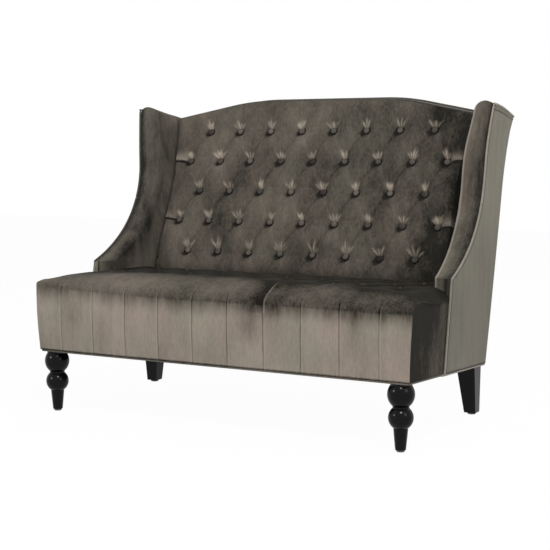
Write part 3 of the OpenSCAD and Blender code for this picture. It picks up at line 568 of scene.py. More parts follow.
def seat_end(x):
    """Rear limit of the seat's top at x: the back in the middle, the foot of a wing at the sides."""
    crease = crease_at(KNEE_HEIGHT) - GAP
    band = wing_in(KNEE_HEIGHT) - GAP
    rear = plane_y(SEAT_FLOOR) + PAD_SET - 4 - GAP
    return np.interp(np.abs(x), [crease, crease + 1, band, band + 10, band + 20, band + 31],
                     [86, rear, KNEE_Y + 30, KNEE_Y + 12, KNEE_Y + 3, KNEE_Y - GAP])


def seat_shading(xs, face, roll, y_top, beside, pull_shading):
    """Painted shade and light of the seat's shown side, with the pile's own crushed patches: light on the
    front, painted shade where the face turns into the roll and over the top, deeper painted shade towards the
    right and to the back under the back pad, a painted shade line at the foot of the front and on the shelf
    behind, the pulls' folds with their painted highlights and shadows, and a painted highlight and a painted
    shadow beside every seam. The seam one and a half channels right of the middle stands out with a painted
    highlight on the roll and painted shade to its left."""
    edge = 0.72 + 0.02 * np.sin(xs / 41) + 0.02 * np.sin(xs / 13 + 1)
    edge = edge + 0.02 * np.sin(xs / 5.3) * np.sin(xs / 31)
    crushed = 0 * face
    for depth, x, wide, height, tall in ((0.8, 1.5 * TUFT_PITCH - 44, 34, 0.66, 0.26),
                                         (0.35, -480, 45, 0.68, 0.25), (0.3, 455, 30, 0.6, 0.3)):
        crushed = crushed + depth * np.exp(-((xs - x) / wide) ** 2 - ((face - height) / tall) ** 2)
    darker = 0.34 * smooth((xs + 350) / 600) + 0.25 * smooth((xs - 400) / 190)
    turned = smooth((face - edge) / 0.4)
    face_shading = 0.74 - (1.31 + 0.5 * darker) * turned - 1.8 * (face < 0.01) - crushed
    roll_shading = 0.35 * roll - 0.57 - darker * (0.5 + 0.5 * roll)
    top_shading = -0.22 - darker - 1.05 * smooth((y_top + 370) / 140) + 0.8 * beside * pull_shading
    nap = np.concatenate([face_shading, roll_shading, top_shading, np.full((len(xs), 2), -0.9)], 1)
    behind = y_top[:1]
    off_seam = np.abs(xs) % TUFT_PITCH - TUFT_PITCH / 2
    # Painted highlight on one side of each seam and painted shadow on the other.
    lines = 0.45 * np.exp(-((off_seam - 2.5) / 1.6) ** 2) - 0.6 * np.exp(-((off_seam + 0.5) / 1.8) ** 2)
    line_share = np.concatenate([np.ones((1, FACE_ROWS)), 1 - 0.7 * roll,
                                 0.3 - 0.3 * smooth((behind - ROLL_Y) / 60), np.zeros((1, 2))], 1)
    on_roll = np.concatenate([np.zeros((1, FACE_ROWS - 4)), np.ones((1, ROLL_ROWS + 4)),
                              1 - smooth((behind + 360) / 70), np.zeros((1, 2))], 1)
    beyond = xs - 1.5 * TUFT_PITCH
    # Painted highlight on one seam across the roll, with painted shade to its left.
    ridge = 0.8 * np.exp(-((beyond - 1) / 2.5) ** 2) - 0.3 * (beyond < -1) * np.exp(-(beyond / 45) ** 2)
    return nap + line_share * lines + on_roll * ridge


def seat_cover():
    """Seat and its front skirt. Each ring is a side view at x: up the channelled front, round the roll,
    over the tufted top and down behind, then forward over the springs and down the face of the front rail.
    The cheeks beyond the side frames reach back to the side panels' front edges."""
    seams_at = TUFT_PITCH * (np.arange(5) + 0.5)
    beside_seam = (seams_at[:, None] + [-6, -3.5, -2, -1, 0, 1, 2, 3.5, 6]).ravel()
    inner = np.arange(0, 520, 4.5)
    apart = np.abs(inner[:, None] - seams_at).min(1)
    inner = np.sort(np.concatenate([inner[apart > 7.5], beside_seam[beside_seam < 522]]))
    outer = np.array([524, 528, 530, 531.5, 534, 538, 543, 548, 553, 558, 562, 565, 568, 572, 576, 581, 586,
                      591, 595, 598, 601, 604, 606, 608, 609.5])
    cheek = np.array([HALF_WIDTH + GAP, 612, 613.5, 615, 616, 616.8, 617.3])
    half = np.concatenate([inner, outer, cheek])
    xs = np.concatenate([-half[:0:-1], half])[:, None]
    e = np.maximum(SEAT_SIDE - np.abs(xs), 0)
    droop_side = 26 * np.maximum(0, 1 - e / 50) ** 2.6
    is_cheek = np.abs(xs) > HALF_WIDTH
    z_low = hem(-FRONT_FACE)
    face = np.linspace(0, 1, FACE_ROWS)[None, :]
    roll = np.linspace(0, 1, ROLL_ROWS + 1)[None, 1:]
    top_front = np.linspace(0, 1, 62)[None, 1:]
    top_rear = np.linspace(0, 1, 40)[None, 1:]

    def droop(y):
        return droop_side * (1 - 0.95 * smooth((-y - 270) / 110))

    front_droop = droop(np.array([[-FRONT_FACE]]))
    corner = np.maximum(0, 1 - e / 7) ** 2
    z_face = z_low + face * (seat_edge(xs) - 20 - front_droop - z_low)
    bulge = 6 * np.sin(np.radians(150) * face)
    seams = seam(xs, 0.16) * smooth((598 - np.abs(xs)) / 10)
    sewn = 1 - 0.65 * smooth((face - 0.7) / 0.3)
    y_face = -FRONT_FACE - bulge + 4.2 * seams * np.minimum(1, 4 * face) * sewn + 2 * corner
    y2, z2 = ROLL_Y, seat_z(xs, ROLL_Y) - droop(np.array([[ROLL_Y]])) - 1.2 * seams
    y1, z1 = y_face[:, -1:], z_face[:, -1:]
    slope = (seat_dome(xs) - seat_edge(xs)) * np.pi / 2 / (CROWN_Y + FRONT_FACE) * 0.965
    y_mid, z_mid = y1 + 0.5, z2 - slope * (y2 - y1 - 0.5)
    square = 1 + 2.5 * np.maximum(0, 1 - e / 70)
    weight = (1 - roll) ** 2 + 2 * square * roll * (1 - roll) + roll ** 2
    y_roll = (y1 * (1 - roll) ** 2 + 2 * square * y_mid * roll * (1 - roll) + y2 * roll ** 2) / weight
    z_roll = (z1 * (1 - roll) ** 2 + 2 * square * z_mid * roll * (1 - roll) + z2 * roll ** 2) / weight
    y_top = np.concatenate([y2 + top_front * (SEAT_BREAK - y2) + 0 * xs,
                            SEAT_BREAK + top_rear * (seat_end(xs) - SEAT_BREAK)], 1)
    u = 2 * xs / TUFT_PITCH
    v = 1 + np.maximum(0, (y_top - SEAT_ROWS_Y) / SEAT_ROW_PITCH)
    fold, pocket = tuft(u, v)
    blend = smooth((y_top - CROWN_Y) / (SEAT_ROWS_Y - CROWN_Y))
    beside = smooth((560 - np.abs(xs)) / 50)
    deep = 4 + 9 * beside
    relief = -(1 - smooth((y_top - y2) / 60)) * 1.2 * seams
    relief = relief - blend * deep * (0.5 * (1 - fold ** 0.5) + 0.5 * pocket)
    pulls = [(u * TUFT_PITCH / 2, SEAT_ROWS_Y + (v - 1) * SEAT_ROW_PITCH)
             for v in (1, 2, 3, 4) for u in range(-9, 10) if (u + v) % 2 == 0]
    pull_height, pull_shading = fans(xs + 0 * y_top, y_top, np.array(pulls), np.random.default_rng(5))
    z_top = seat_z(xs, y_top) - droop(y_top) + relief + 0.5 * beside * pull_height
    middle = np.abs(xs) < crease_at(KNEE_HEIGHT) - GAP + 0.1
    y_end = y_top[:, -1:]
    y_shelf = np.where(middle, 92.0, y_end + 0.2)
    y_rear = np.where(middle, 150.0, y_end + 0.4)
    z_shelf = np.where(middle, SEAT_REST, z_top[:, -1:] - 6)
    y = np.concatenate([y_face, y_roll, y_top, y_shelf, y_rear], 1)
    z = np.concatenate([z_face, z_roll, z_top, z_shelf, z_shelf], 1)
    rail = -FRONT_FACE + COVER - GAP
    y_back = np.maximum(y, rail)
    z_back = np.minimum(z, SEAT_FLOOR)
    z_back[:, :1] = np.where(is_cheek, z_back[:, :1], hem(-FRONT_FACE))
    along = np.linspace(0, 1, y.shape[1] - FACE_ROWS + 1)[1:]
    along = np.concatenate([np.zeros(FACE_ROWS), along])[None, :]
    ear_low = hem(ear_y(LEG_HEIGHT - 6))
    z_ear = ear_low + (z - z_low) * (z_face[:, -1:] - ear_low) / (z_face[:, -1:] - z_low)
    z_ear = np.where(along > 0, z_face[:, -1:] + along * (z_shelf - z_face[:, -1:]), z_ear)
    y_ear = ear_y(z_ear) - GAP
    y_back = np.where(is_cheek, np.maximum(y_ear, y), y_back)
    z_back = np.where(is_cheek, z_ear, z_back)

    def lean(yy, zz):
        out = 9 / 185 * (zz - LEG_HEIGHT) * (np.abs(xs) - SEAT_SIDE + 45) / 45
        out = out * (0.3 + 0.7 * smooth((-yy - 160) / 120))
        return xs + np.sign(xs) * np.where(np.abs(xs) > SEAT_SIDE - 45, out, 0)

    shown = np.stack([lean(y, z), y, z], -1)
    x_back = np.clip(lean(y_back, z_back), -SEAT_SIDE - 2, SEAT_SIDE + 2)
    x_back = np.where(np.abs(xs) < HALF_WIDTH + 1, np.sign(xs) * (HALF_WIDTH + GAP), x_back)
    hidden = np.stack([np.where(is_cheek, x_back, xs + 0 * y_back), y_back, z_back], -1)
    nap = seat_shading(xs, face, roll, y_top, beside, pull_shading)
    steps = np.concatenate([[0.004], np.linspace(0, 0.5, 12)[1:]])[:, None, None]
    left, right = [(shown[k] + (hidden[k] - shown[k]) * steps, hidden[k] + (shown[k] - hidden[k]) * steps)
                   for k in (0, -1)]
    shown = np.concatenate([left[0][::-1], shown, right[0]])
    hidden = np.concatenate([left[1][::-1], hidden, right[1]])
    side_nap = steps[:, 0] * 0.2 - 1.14 + np.zeros((1, nap.shape[1]))
    ear_nap = -0.65 - steps[:, 0] * 0.68 + np.zeros((1, nap.shape[1]))
    hidden_nap = np.concatenate([ear_nap[::-1], nap, ear_nap])
    nap = np.concatenate([side_nap[::-1], nap, side_nap])
    return shell("seat_cover", shown, hidden, nap, 60, hidden_nap)


# Wings

def wing_rings():
    """Rings of a right wing from the springs to its top: the shown line runs from the middle of the band
    round its inner edge to the crease, the hidden one round its outer edge and along the side frame."""
    line = wing_front_line(46, 22)
    stations = [(SEAT_FLOOR, KNEE_Y, 0.0), (0.6 * SEAT_FLOOR + 0.4 * KNEE_HEIGHT, KNEE_Y, 0.0),
                (KNEE_HEIGHT - GAP, KNEE_Y, 0.0)]
    stations += [(z, f, 0.0) for f, z in line[:-1]]
    stations += [(WING_HEIGHT - 7 + 7 * math.sin(a), CORNER_BACK - 1, 7 * (1 - math.cos(a)))
                 for a in np.radians([0, 20, 40, 60, 78, 90])]
    shown, hidden = [], []
    turn = np.radians(np.linspace(90, 0, 12))
    for z, f, inset in sorted(stations):
        low = z < KNEE_HEIGHT
        zz = max(z, KNEE_HEIGHT)
        xo = (HALF_WIDTH if low else wing_out(zz)) - inset
        xi = wing_in(zz) + inset
        xc = crease_at(zz) + inset
        f = f + inset
        high = z > POST_TOP
        yr = rear_face(lowered(z)) - GAP if high else plane_y(z) + PAD_SET
        xp = (HALF_WIDTH if z > PLATE_TOP else PLATE_IN - GAP) - (inset if z > PLATE_TOP else 0)
        yc = min(crease_y(z), yr - 4)
        middle = (xi + BAND_ROUND + xo - EDGE_CUT) / 2
        flat = np.linspace(0, 1, 6)[:-1]
        crown = 3.0 * float(smooth((z - KNEE_HEIGHT) / 60))
        inner_flat = np.stack([middle + (xi + BAND_ROUND - middle) * flat,
                               f - crown * (1 - (flat * 0.8) ** 2)], -1)
        inner_turn = np.stack([xi + BAND_ROUND * (1 - np.cos(turn)),
                               f + (BAND_ROUND + crown * 0.36) * (1 - np.sin(turn)) - crown * 0.36], -1)
        t = 1 - (1 - np.linspace(0, 1, 26)[1:]) ** 1.6
        bulge = min(5, 0.3 * (xi - xc)) * float(smooth((z - KNEE_HEIGHT) / 90))
        face = np.stack([xi + (xc - xi) * t - bulge * np.sin(np.pi * t),
                         f + BAND_ROUND + (yc - f - BAND_ROUND) * t], -1)
        inner = np.concatenate([inner_flat, inner_turn, face, [[xc, yr]]])
        corner = 0.8 if low else EDGE_CUT
        outer_flat = np.stack([middle + (xo - corner - middle) * flat,
                               f - crown * (1 - flat ** 2)], -1)
        cut = np.radians(np.linspace(0, 90, 5))
        outer_turn = np.stack([xo - corner + corner * np.sin(cut), f + corner * (1 - np.cos(cut))], -1)
        yb = f + BAND_THICKNESS - GAP
        along = np.linspace(0, 1, len(inner) - 12)[:, None]
        outer = np.concatenate([outer_flat, outer_turn, [[xo, yb], [xp, yb]],
                                [xp, yb] + along * [0, yr - yb]])
        for side, target in ((inner, shown), (outer, hidden)):
            x, y = side[:, 0], side[:, 1]
            target.append(np.stack([x, y, lift(x, y, np.full(len(x), z))], -1))
    return np.array(shown), np.array(hidden)


def wing_covers():
    """Right and left wing. Places count along a ring from the middle of the band: the right wing has a
    painted highlight on the turn at place 11 and painted shade in the crease, and both have painted shade
    beside the piping. The left wing shows its shaded face, with painted shade in the crease; near the knee
    its turn gets a little painted shade and its band and inner face painted light."""
    rings = wing_rings()
    place = np.arange(rings[0].shape[1])
    # Painted highlight on the band's turn and painted shade in the crease.
    nap = 2.2 * np.exp(-((place - 11.2) / 1.6) ** 2) * (place < 17) - 0.15
    nap += 0.3 * np.exp(-((place - 7) / 3) ** 2) - 1.7 * smooth((place - 34) / 3)
    # Painted shade on the outer edge beside the piping.
    edge_shading = -0.17 - 0.08 * np.minimum(place, 5) - 1.3 * smooth((place - 5) / 3) * (place < 10)
    near_knee = 1 - smooth((rings[0][..., 2] - 480) / 230)
    left_shading = 0.09 + np.minimum(nap, -0.15)
    left_shading = left_shading - near_knee * (0.45 * np.exp(-((place - 13) / 9) ** 2) - 0.24)
    left_edge = edge_shading + 0.25 * near_knee * (place < 5)
    shape = rings[0].shape[:2]
    right = shell("wing_cover_right", *rings, np.broadcast_to(nap, shape),
                  hidden_nap=np.broadcast_to(edge_shading, shape))
    return right, mirrored("wing_cover_left", rings, left_shading, hidden_nap=left_edge)


def panel_rings():
    """Rings of a right side panel: the shown line is its outer face with rounded edges, set in by a
    narrow sewn groove below the top; the hidden line is the face on the side frame."""
    zs = np.concatenate([[LEG_HEIGHT] * 4, np.linspace(208, KNEE_HEIGHT - 1, 38), [KNEE_HEIGHT - GAP],
                         np.linspace(KNEE_HEIGHT + 1, 900, 70), np.linspace(902, WING_HEIGHT, 26)])
    near = np.array([0, 1, 2, 3.5, 5, EDGE_CUT, 9, 13])
    shown, hidden = [], []
    for z, above_hem in zip(zs, [0, 2, 4, 8] + [0] * (len(zs) - 4)):
        front = ear_y(z) if z < KNEE_HEIGHT else front_at(z) + BAND_THICKNESS
        if z == LEG_HEIGHT:
            front = ear_y(hem(KNEE_Y) + above_hem)
            rear = back_y(hem(BACK_FOOT) + above_hem)
        else:
            rear = back_y(lowered(z))
        y = np.concatenate([front + near, np.linspace(front + 20, rear - 20, 24), rear - near[::-1]])
        round_off = 4 * np.maximum(0, 1 - (rear - y) / 9) ** 2
        if z < KNEE_HEIGHT:
            round_off += np.maximum(0, EDGE_CUT - 2.1 - (y - front))
        groove = 1.3 * math.exp(-((z - (WING_HEIGHT - 15)) / 1.6) ** 2)
        top = max(0, 1 - (WING_HEIGHT - z) / 6) ** 2
        x = wing_out(z) - round_off - groove - top
        zz = hem(y) + above_hem if z == LEG_HEIGHT else lift(x, y, np.full(len(y), z))
        shown.append(np.stack([x + 0 * y, y, zz], -1))
        hidden.append(np.stack([PANEL_IN + 0 * y, y, zz], -1))
    return np.array(shown), np.array(hidden), zs


def side_covers():
    """Right and left side panel. Both have painted shade at the hem, in the sewn groove below the top and in
    a narrow line behind the piping, which lies nearer to it above the knee; the panel grows lighter with
    height. The right panel's front edge has painted shade below the knee as well."""
    *rings, levels = panel_rings()
    z = rings[0][..., 2]
    # Painted shade at the hem and in the groove; lighter with height.
    nap = 0.42 * smooth((z - 300) / 550) - 0.02 - 1.8 * np.exp(-((z - hem(rings[0][..., 1])) / 3) ** 2)
    nap -= 1.2 * np.exp(-((levels[:, None] - WING_HEIGHT + 15) / 2) ** 2)
    front = np.arange(8)
    above = smooth((z[:, :8] - 500) / 80)
    nap[:, :8] -= 0.9 * np.exp(-((front - 6) / 1.5) ** 2) * (1 - above)
    nap[:, :8] -= 1.7 * np.exp(-((front - 4.3) / 1.1) ** 2) * above
    right_shading = nap.copy()
    right_shading[:, 0] -= 1.5 * (z[:, 0] < KNEE_HEIGHT)
    return shell("side_cover_right", *rings, right_shading), mirrored("side_cover_left", rings, nap)


def outside_back():
    """Cloth stretched over the outside back: the Bezier curve of the side view, cut by the camel top."""
    x = np.linspace(-HALF_WIDTH, HALF_WIDTH, 81)[:, None]
    t = np.linspace(0, 1, 70)[None, :]
    z_low = hem(BACK_FOOT)
    z = z_low + (camel_z(x) - z_low) * t
    edge = np.minimum(HALF_WIDTH - np.abs(x), (1 - t) * 700)
    round_off = 2 * np.maximum(0, 1 - edge / 8) ** 2
    hollow = 2.5 * np.sin(np.pi * t) * np.cos(np.pi * x / 2 / HALF_WIDTH)
    shown = np.stack([x + 0 * t, back_y(z) - round_off - hollow, z], -1)
    hidden = np.stack([x + 0 * t, back_y(z) - COVER, z], -1)
    return shell("outside_back_cover", shown, hidden, np.full(z.shape, 0.0))


# Piping

def wing_piping(side):
    """Piping along a wing's outer edge: up the side panel's front edge to the knee, up the S curve and back
    along the top. On the left wing it lies in shade above the knee."""
    line = wing_front_line(60, 24)
    line = line[(line[:, 1] > KNEE_HEIGHT + 5) & (line[:, 1] < WING_HEIGHT - 1)]
    x = wing_out(line[:, 1])
    rise = np.stack([x, line[:, 0], lift(x, line[:, 0], line[:, 1])], -1)
    rear = rear_face(lowered(WING_HEIGHT)) - GAP
    y = np.linspace(CORNER_BACK, rear, 24)
    x = np.full(24, wing_out(WING_HEIGHT))
    back = np.stack([x, y, wing_top(x, y) + WELT_RADIUS - 0.4], -1)
    z = np.linspace(hem(KNEE_Y) + WELT_RADIUS, KNEE_HEIGHT, 14)
    ear = np.stack([wing_out(z), ear_y(z), z], -1)
    path = np.concatenate([ear, rise, back])
    nap = np.full(len(path), 0.2)
    if side < 0:
        nap -= 1.3 * smooth((path[:, 2] - KNEE_HEIGHT + 12) / 10)
    nap = np.concatenate([nap[:1], nap, nap[-1:]])[:, None]
    name = "wing_piping_right" if side > 0 else "wing_piping_left"
    return tube(name, path * [side, 1, 1], WELT_RADIUS, nap=nap)


def base_piping():
    """Piping round the lower edge, on the sloping underside: it steps out under the side panels."""
    x1, x2 = HALF_WIDTH + COVER / 2, HALF_WIDTH + PANEL - WELT_RADIUS
    y1, y2 = -FRONT_FACE + COVER / 2, BACK_FOOT - COVER / 2
    ear = ear_y(hem(KNEE_Y))
    r = 7
    a = np.radians(np.linspace(0, 90, 7))
    corners = []
    for cx, cy, turn in ((x2, y2, 0), (-x2, y2, 90), (-x1, y1, 180), (x1, y1, 270)):
        b = a + math.radians(turn)
        middle = np.array([cx - r * np.sign(cx), cy - r * np.sign(cy)])
        if turn == 180:
            corners.append(np.array([[-x2, ear], [-x2 + 1, ear - 4], [-x1 - 1, ear - 8], [-x1, ear - 12]]))
        corners.append(middle + r * np.stack([np.cos(b), np.sin(b)], -1))
        if turn == 270:
            corners.append(np.array([[x1, ear - 12], [x1 + 1, ear - 8], [x2 - 1, ear - 4], [x2, ear]]))
    loop = np.concatenate(corners)
    ends = np.roll(loop, -1, 0)
    share = np.linspace(0, 1, 12, endpoint=False)
    long_run = np.linalg.norm(ends - loop, axis=1) > 50
    path = []
    for p, q, run in zip(loop, ends, long_run):
        path.append(p + (q - p) * share[:, None] if run else p[None])
    path = np.concatenate(path)
    path = np.concatenate([path, under(path[:, 1:]) + WELT_RADIUS], 1)
    nap = np.where(np.abs(path[:, :1]) > HALF_WIDTH + COVER, 0.8, -0.3)
    return tube("base_piping", path, WELT_RADIUS, closed=True, nap=np.concatenate([nap, nap[:1]]))


def back_piping():
    """Piping along the camel top, on the edge of the outside back."""
    x = np.linspace(-HALF_WIDTH + 10, HALF_WIDTH - 10, 120)
    z = camel_z(x)
    return tube("back_piping", np.stack([x, back_y(z) - COVER / 2, z + WELT_RADIUS - 0.4], -1), WELT_RADIUS,
                nap=-0.8)


# Cloth and webbing inside

def cloth(name, x1, x2, y1, y2, height, holes=()):
    """Stretched sheet over a rectangle, at height(x, y), open where a hole's box lies."""
    xs = np.unique(np.concatenate([np.linspace(x1, x2, 41)] + [[h[0], h[1]] for h in holes]))
    ys = np.unique(np.concatenate([np.linspace(y1, y2, 21)] + [[h[2], h[3]] for h in holes]))
    xs = xs[(xs >= x1) & (xs <= x2)]
    ys = ys[(ys >= y1) & (ys <= y2)]
    x, y = np.meshgrid(xs, ys, indexing="ij")
    points = np.stack([x, y, height(x, y)], -1)
    faces = grid_faces(len(xs), len(ys), False)
    middle = points.reshape(-1, 3)[faces].mean(1)
    keep = np.ones(len(faces), bool)
    for h in holes:
        inside = (middle[:, 0] > h[0]) & (middle[:, 0] < h[1])
        keep &= ~(inside & (middle[:, 1] > h[2]) & (middle[:, 1] < h[3]))
    return finish_mesh(name, points.reshape(-1, 3), faces[keep])


def webbing():
    """Jute straps behind the back pad, seven up and four across, each passing over and under in turn."""
    half, up1 = PLATE_IN - 28, (SEAT_SIDE_HEIGHT + 6 - FIRST_ROW_HEIGHT) / COS_RAKE + 20
    up2 = (camel_z(np.array(half)) - TOP_RAIL_ROOM - 20 - FIRST_ROW_HEIGHT) / COS_RAKE
    points, faces, count = [], [], 0
    for upright in (True, False):
        for k in range(7 if upright else 4):
            t = np.linspace(0, 1, 80)
            wave = np.sin(np.pi * (7 if upright else 8) * t + np.pi * (k + upright))
            depth = -PAD_BACK - GAP - 1.0 - 0.4 * wave
            if upright:
                mid = (k - 3) * 2 * half / 7.5
                across, s = np.array([mid - 25, mid + 25]), up1 + t * (up2 - up1)
                grid = [on_plane(across[None, :], (depth + d)[:, None], s[:, None]) for d in (0.4, -0.4)]
            else:
                x = (2 * t - 1) * (half + 20)
                low = up1 + 30 + k * (up2 - up1 - 110) / 3
                grid = [on_plane(x[:, None], (depth + d)[:, None], np.array([low, low + 50])[None, :])
                        for d in (0.4, -0.4)]
            ring = np.concatenate([grid[0], grid[1][:, ::-1]], 1)
            points.append(ring.reshape(-1, 3))
            faces.append(grid_faces(80, 4, True) + count)
            faces.append(np.array([[0, 1, 2, 3], [319, 318, 317, 316]]) + count)
            count += 320
    return finish_mesh("back_straps", np.concatenate(points), np.concatenate(faces))


# Node groups and materials

def group(name, inputs, outputs):
    """Empty shader group with the named sockets."""
    tree = bpy.data.node_groups.new(name, "ShaderNodeTree")
    for label, kind, value in inputs:
        socket = tree.interface.new_socket(label, in_out="INPUT", socket_type="NodeSocket" + kind)
        if value is not None:
            socket.default_value = value
    for label, kind in outputs:
        tree.interface.new_socket(label, in_out="OUTPUT", socket_type="NodeSocket" + kind)
    return tree, tree.nodes.new("NodeGroupInput"), tree.nodes.new("NodeGroupOutput")


def add(tree, kind, links=None, **values):
    """New node with plain values for its properties and links into its inputs."""
    node = tree.nodes.new("ShaderNode" + kind)
    for key, value in values.items():
        setattr(node, key, value)
    for key, value in (links or {}).items():
        if isinstance(value, bpy.types.NodeSocket):
            tree.links.new(value, node.inputs[key])
        else:
            node.inputs[key].default_value = value
    return node


def maths(tree, operation, a, b=0.0, clamp=False):
    """Value of one arithmetic step."""
    return add(tree, "Math", {0: a, 1: b}, operation=operation, use_clamp=clamp).outputs[0]


def noise(tree, vector, scale, detail=3.0, rough=0.5, stretch=(1, 1, 1), shift=(0, 0, 0)):
    """Noise between 0 and 1 on stretched coordinates."""
    place = add(tree, "Mapping", {"Vector": vector, "Scale": stretch, "Location": shift})
    return add(tree, "TexNoise", {"Vector": place.outputs[0], "Scale": scale, "Detail": detail,
                                  "Roughness": rough}).outputs[0]


def velvet_group():
    """Crushed velvet: broad brushed patches, upright strokes and fine pile move the colour between dark and
    light together with the piece's per-point value, which holds its pile tone and its painted shade and
    light."""
    tree, given, out = group("crushed_velvet", [
        ("Vector", "Vector", None), ("Nap and shade", "Float", 0.0), ("Dark", "Color", None),
        ("Light", "Color", None), ("Patches", "Float", 0.5), ("Strokes", "Float", 0.4),
        ("Shift", "Float", 0.0), ("Fine", "Float", 0.28)],
        [("Color", "Color"), ("Roughness", "Float"), ("Height", "Float")])
    vector = given.outputs["Vector"]
    broad = noise(tree, vector, 5, 3, 0.5, (1, 1, 0.7))
    strokes = noise(tree, vector, 30, 4, 0.6, (1, 1, 0.16))
    fine = noise(tree, vector, 160, 3, 0.6, (1, 1, 0.3))
    pile = noise(tree, vector, 1500, 1, 0.5)
    shade = maths(tree, "MULTIPLY_ADD", given.outputs["Nap and shade"], 0.5)
    tree.nodes[-1].inputs[2].default_value = 0.5
    for value, amount in ((broad, given.outputs["Patches"]), (strokes, given.outputs["Strokes"])):
        centred = maths(tree, "SUBTRACT", value, 0.5)
        part = maths(tree, "MULTIPLY", centred, amount)
        shade = maths(tree, "ADD", shade, maths(tree, "MULTIPLY", part, 2.0))
    for value, amount in ((fine, given.outputs["Fine"]), (pile, 0.12)):
        centred = maths(tree, "SUBTRACT", value, 0.5)
        shade = maths(tree, "ADD", shade, maths(tree, "MULTIPLY", centred, amount))
    shade = maths(tree, "ADD", shade, given.outputs["Shift"], clamp=True)
    colour = add(tree, "Mix", {0: shade, 6: given.outputs["Dark"], 7: given.outputs["Light"]},
                 data_type="RGBA")
    hue = noise(tree, vector, 6.5, 4, 0.6, (1, 1, 0.8), (3, 1, 7))
    hue = add(tree, "MapRange", {0: hue, 1: 0.38, 2: 0.62})
    tint = add(tree, "Mix", {0: hue.outputs[0], 6: (0.965, 1.0, 0.955, 1), 7: (1.035, 0.995, 0.985, 1)},
               data_type="RGBA")
    tinted = add(tree, "Mix", {0: 1.0, 6: colour.outputs[2], 7: tint.outputs[2]}, data_type="RGBA",
                 blend_type="MULTIPLY")
    tree.links.new(tinted.outputs[2], out.inputs["Color"])
    rough = maths(tree, "MULTIPLY_ADD", shade, -0.15)
    tree.nodes[-1].inputs[2].default_value = 0.75
    tree.links.new(rough, out.inputs["Roughness"])
    height = maths(tree, "ADD", maths(tree, "MULTIPLY", fine, 0.5), maths(tree, "MULTIPLY", pile, 0.35))
    height = maths(tree, "ADD", height, maths(tree, "MULTIPLY", strokes, 0.6))
    tree.links.new(height, out.inputs["Height"])
    return tree


def grain_group():
    """Wood grain: rings stretched along one axis, with fine pores, between two colours."""
    tree, given, out = group("wood_grain", [
        ("Vector", "Vector", None), ("Dark", "Color", None), ("Light", "Color", None),
        ("Scale", "Float", 40.0)],
        [("Color", "Color"), ("Height", "Float")])
    place = add(tree, "Mapping", {"Vector": given.outputs["Vector"], "Scale": (0.12, 1, 1)})
    rings = add(tree, "TexNoise", {"Vector": place.outputs[0], "Scale": given.outputs["Scale"], "Detail": 6.0,
                                   "Distortion": 0.6})
    pores = noise(tree, given.outputs["Vector"], 700, 2, 0.6, (0.08, 1, 1))
    shade = maths(tree, "ADD", rings.outputs[0], maths(tree, "MULTIPLY", pores, 0.25), clamp=True)
    colour = add(tree, "Mix", {0: shade, 6: given.outputs["Dark"], 7: given.outputs["Light"]},
                 data_type="RGBA")
    tree.links.new(colour.outputs[2], out.inputs["Color"])
    tree.links.new(shade, out.inputs["Height"])
    return tree


def material(name):
    """New material with its node tree, shader and the object's coordinates."""
    made = bpy.data.materials.new(name)
    made.use_nodes = True
    tree = made.node_tree
    shader = tree.nodes["Principled BSDF"]
    place = tree.nodes.new("ShaderNodeTexCoord").outputs["Object"]
    return made, tree, shader, place


def bump(tree, shader, height, strength, distance):
    """Bump from a height, in metres, into the shader's normal."""
    node = add(tree, "Bump", {"Strength": strength, "Distance": distance, "Height": height})
    tree.links.new(node.outputs[0], shader.inputs["Normal"])


VELVET = velvet_group()
GRAIN = grain_group()


def velvet(name, dark, light, patches, strokes, shift=0.0, sheen=0.6, mottle=0.28, gloss=0.15):
    """Velvet finish of one piece, with a sheen at grazing angles."""
    made, tree, shader, place = material(name)
    nap = add(tree, "Attribute", attribute_name="nap")
    cloth_node = add(tree, "Group", node_tree=VELVET)
    for key, value in (("Vector", place), ("Nap and shade", nap.outputs["Fac"])):
        tree.links.new(value, cloth_node.inputs[key])
    for key, value in (("Dark", dark + (1,)), ("Light", light + (1,)), ("Patches", patches),
                       ("Strokes", strokes), ("Shift", shift), ("Fine", mottle)):
        cloth_node.inputs[key].default_value = value
    tree.links.new(cloth_node.outputs["Color"], shader.inputs["Base Color"])
    tree.links.new(cloth_node.outputs["Roughness"], shader.inputs["Roughness"])
    bump(tree, shader, cloth_node.outputs["Height"], 0.35, 0.0012)
    shader.inputs["Specular IOR Level"].default_value = gloss
    shader.inputs["Sheen Weight"].default_value = sheen
    shader.inputs["Sheen Roughness"].default_value = 0.35
    shader.inputs["Sheen Tint"].default_value = (0.95, 0.9, 0.84, 1)
    return made


def wood(name, dark, light, scale, rough, coat=0.0, strength=0.2, gloss=0.5):
    """Timber or lacquer over timber."""
    made, tree, shader, place = material(name)
    grain = add(tree, "Group", node_tree=GRAIN)
    tree.links.new(place, grain.inputs["Vector"])
    grain.inputs["Dark"].default_value = dark + (1,)
    grain.inputs["Light"].default_value = light + (1,)
    grain.inputs["Scale"].default_value = scale
    tree.links.new(grain.outputs["Color"], shader.inputs["Base Color"])
    spots = noise(tree, place, 60, 4, 0.6)
    tree.links.new(maths(tree, "MULTIPLY_ADD", spots, 0.12), shader.inputs["Roughness"])
    tree.nodes[-1].inputs[2].default_value = rough
    bump(tree, shader, grain.outputs["Height"], strength, 0.0004)
    shader.inputs["Specular IOR Level"].default_value = gloss
    shader.inputs["Coat Weight"].default_value = coat
    shader.inputs["Coat Roughness"].default_value = 0.16
    return made


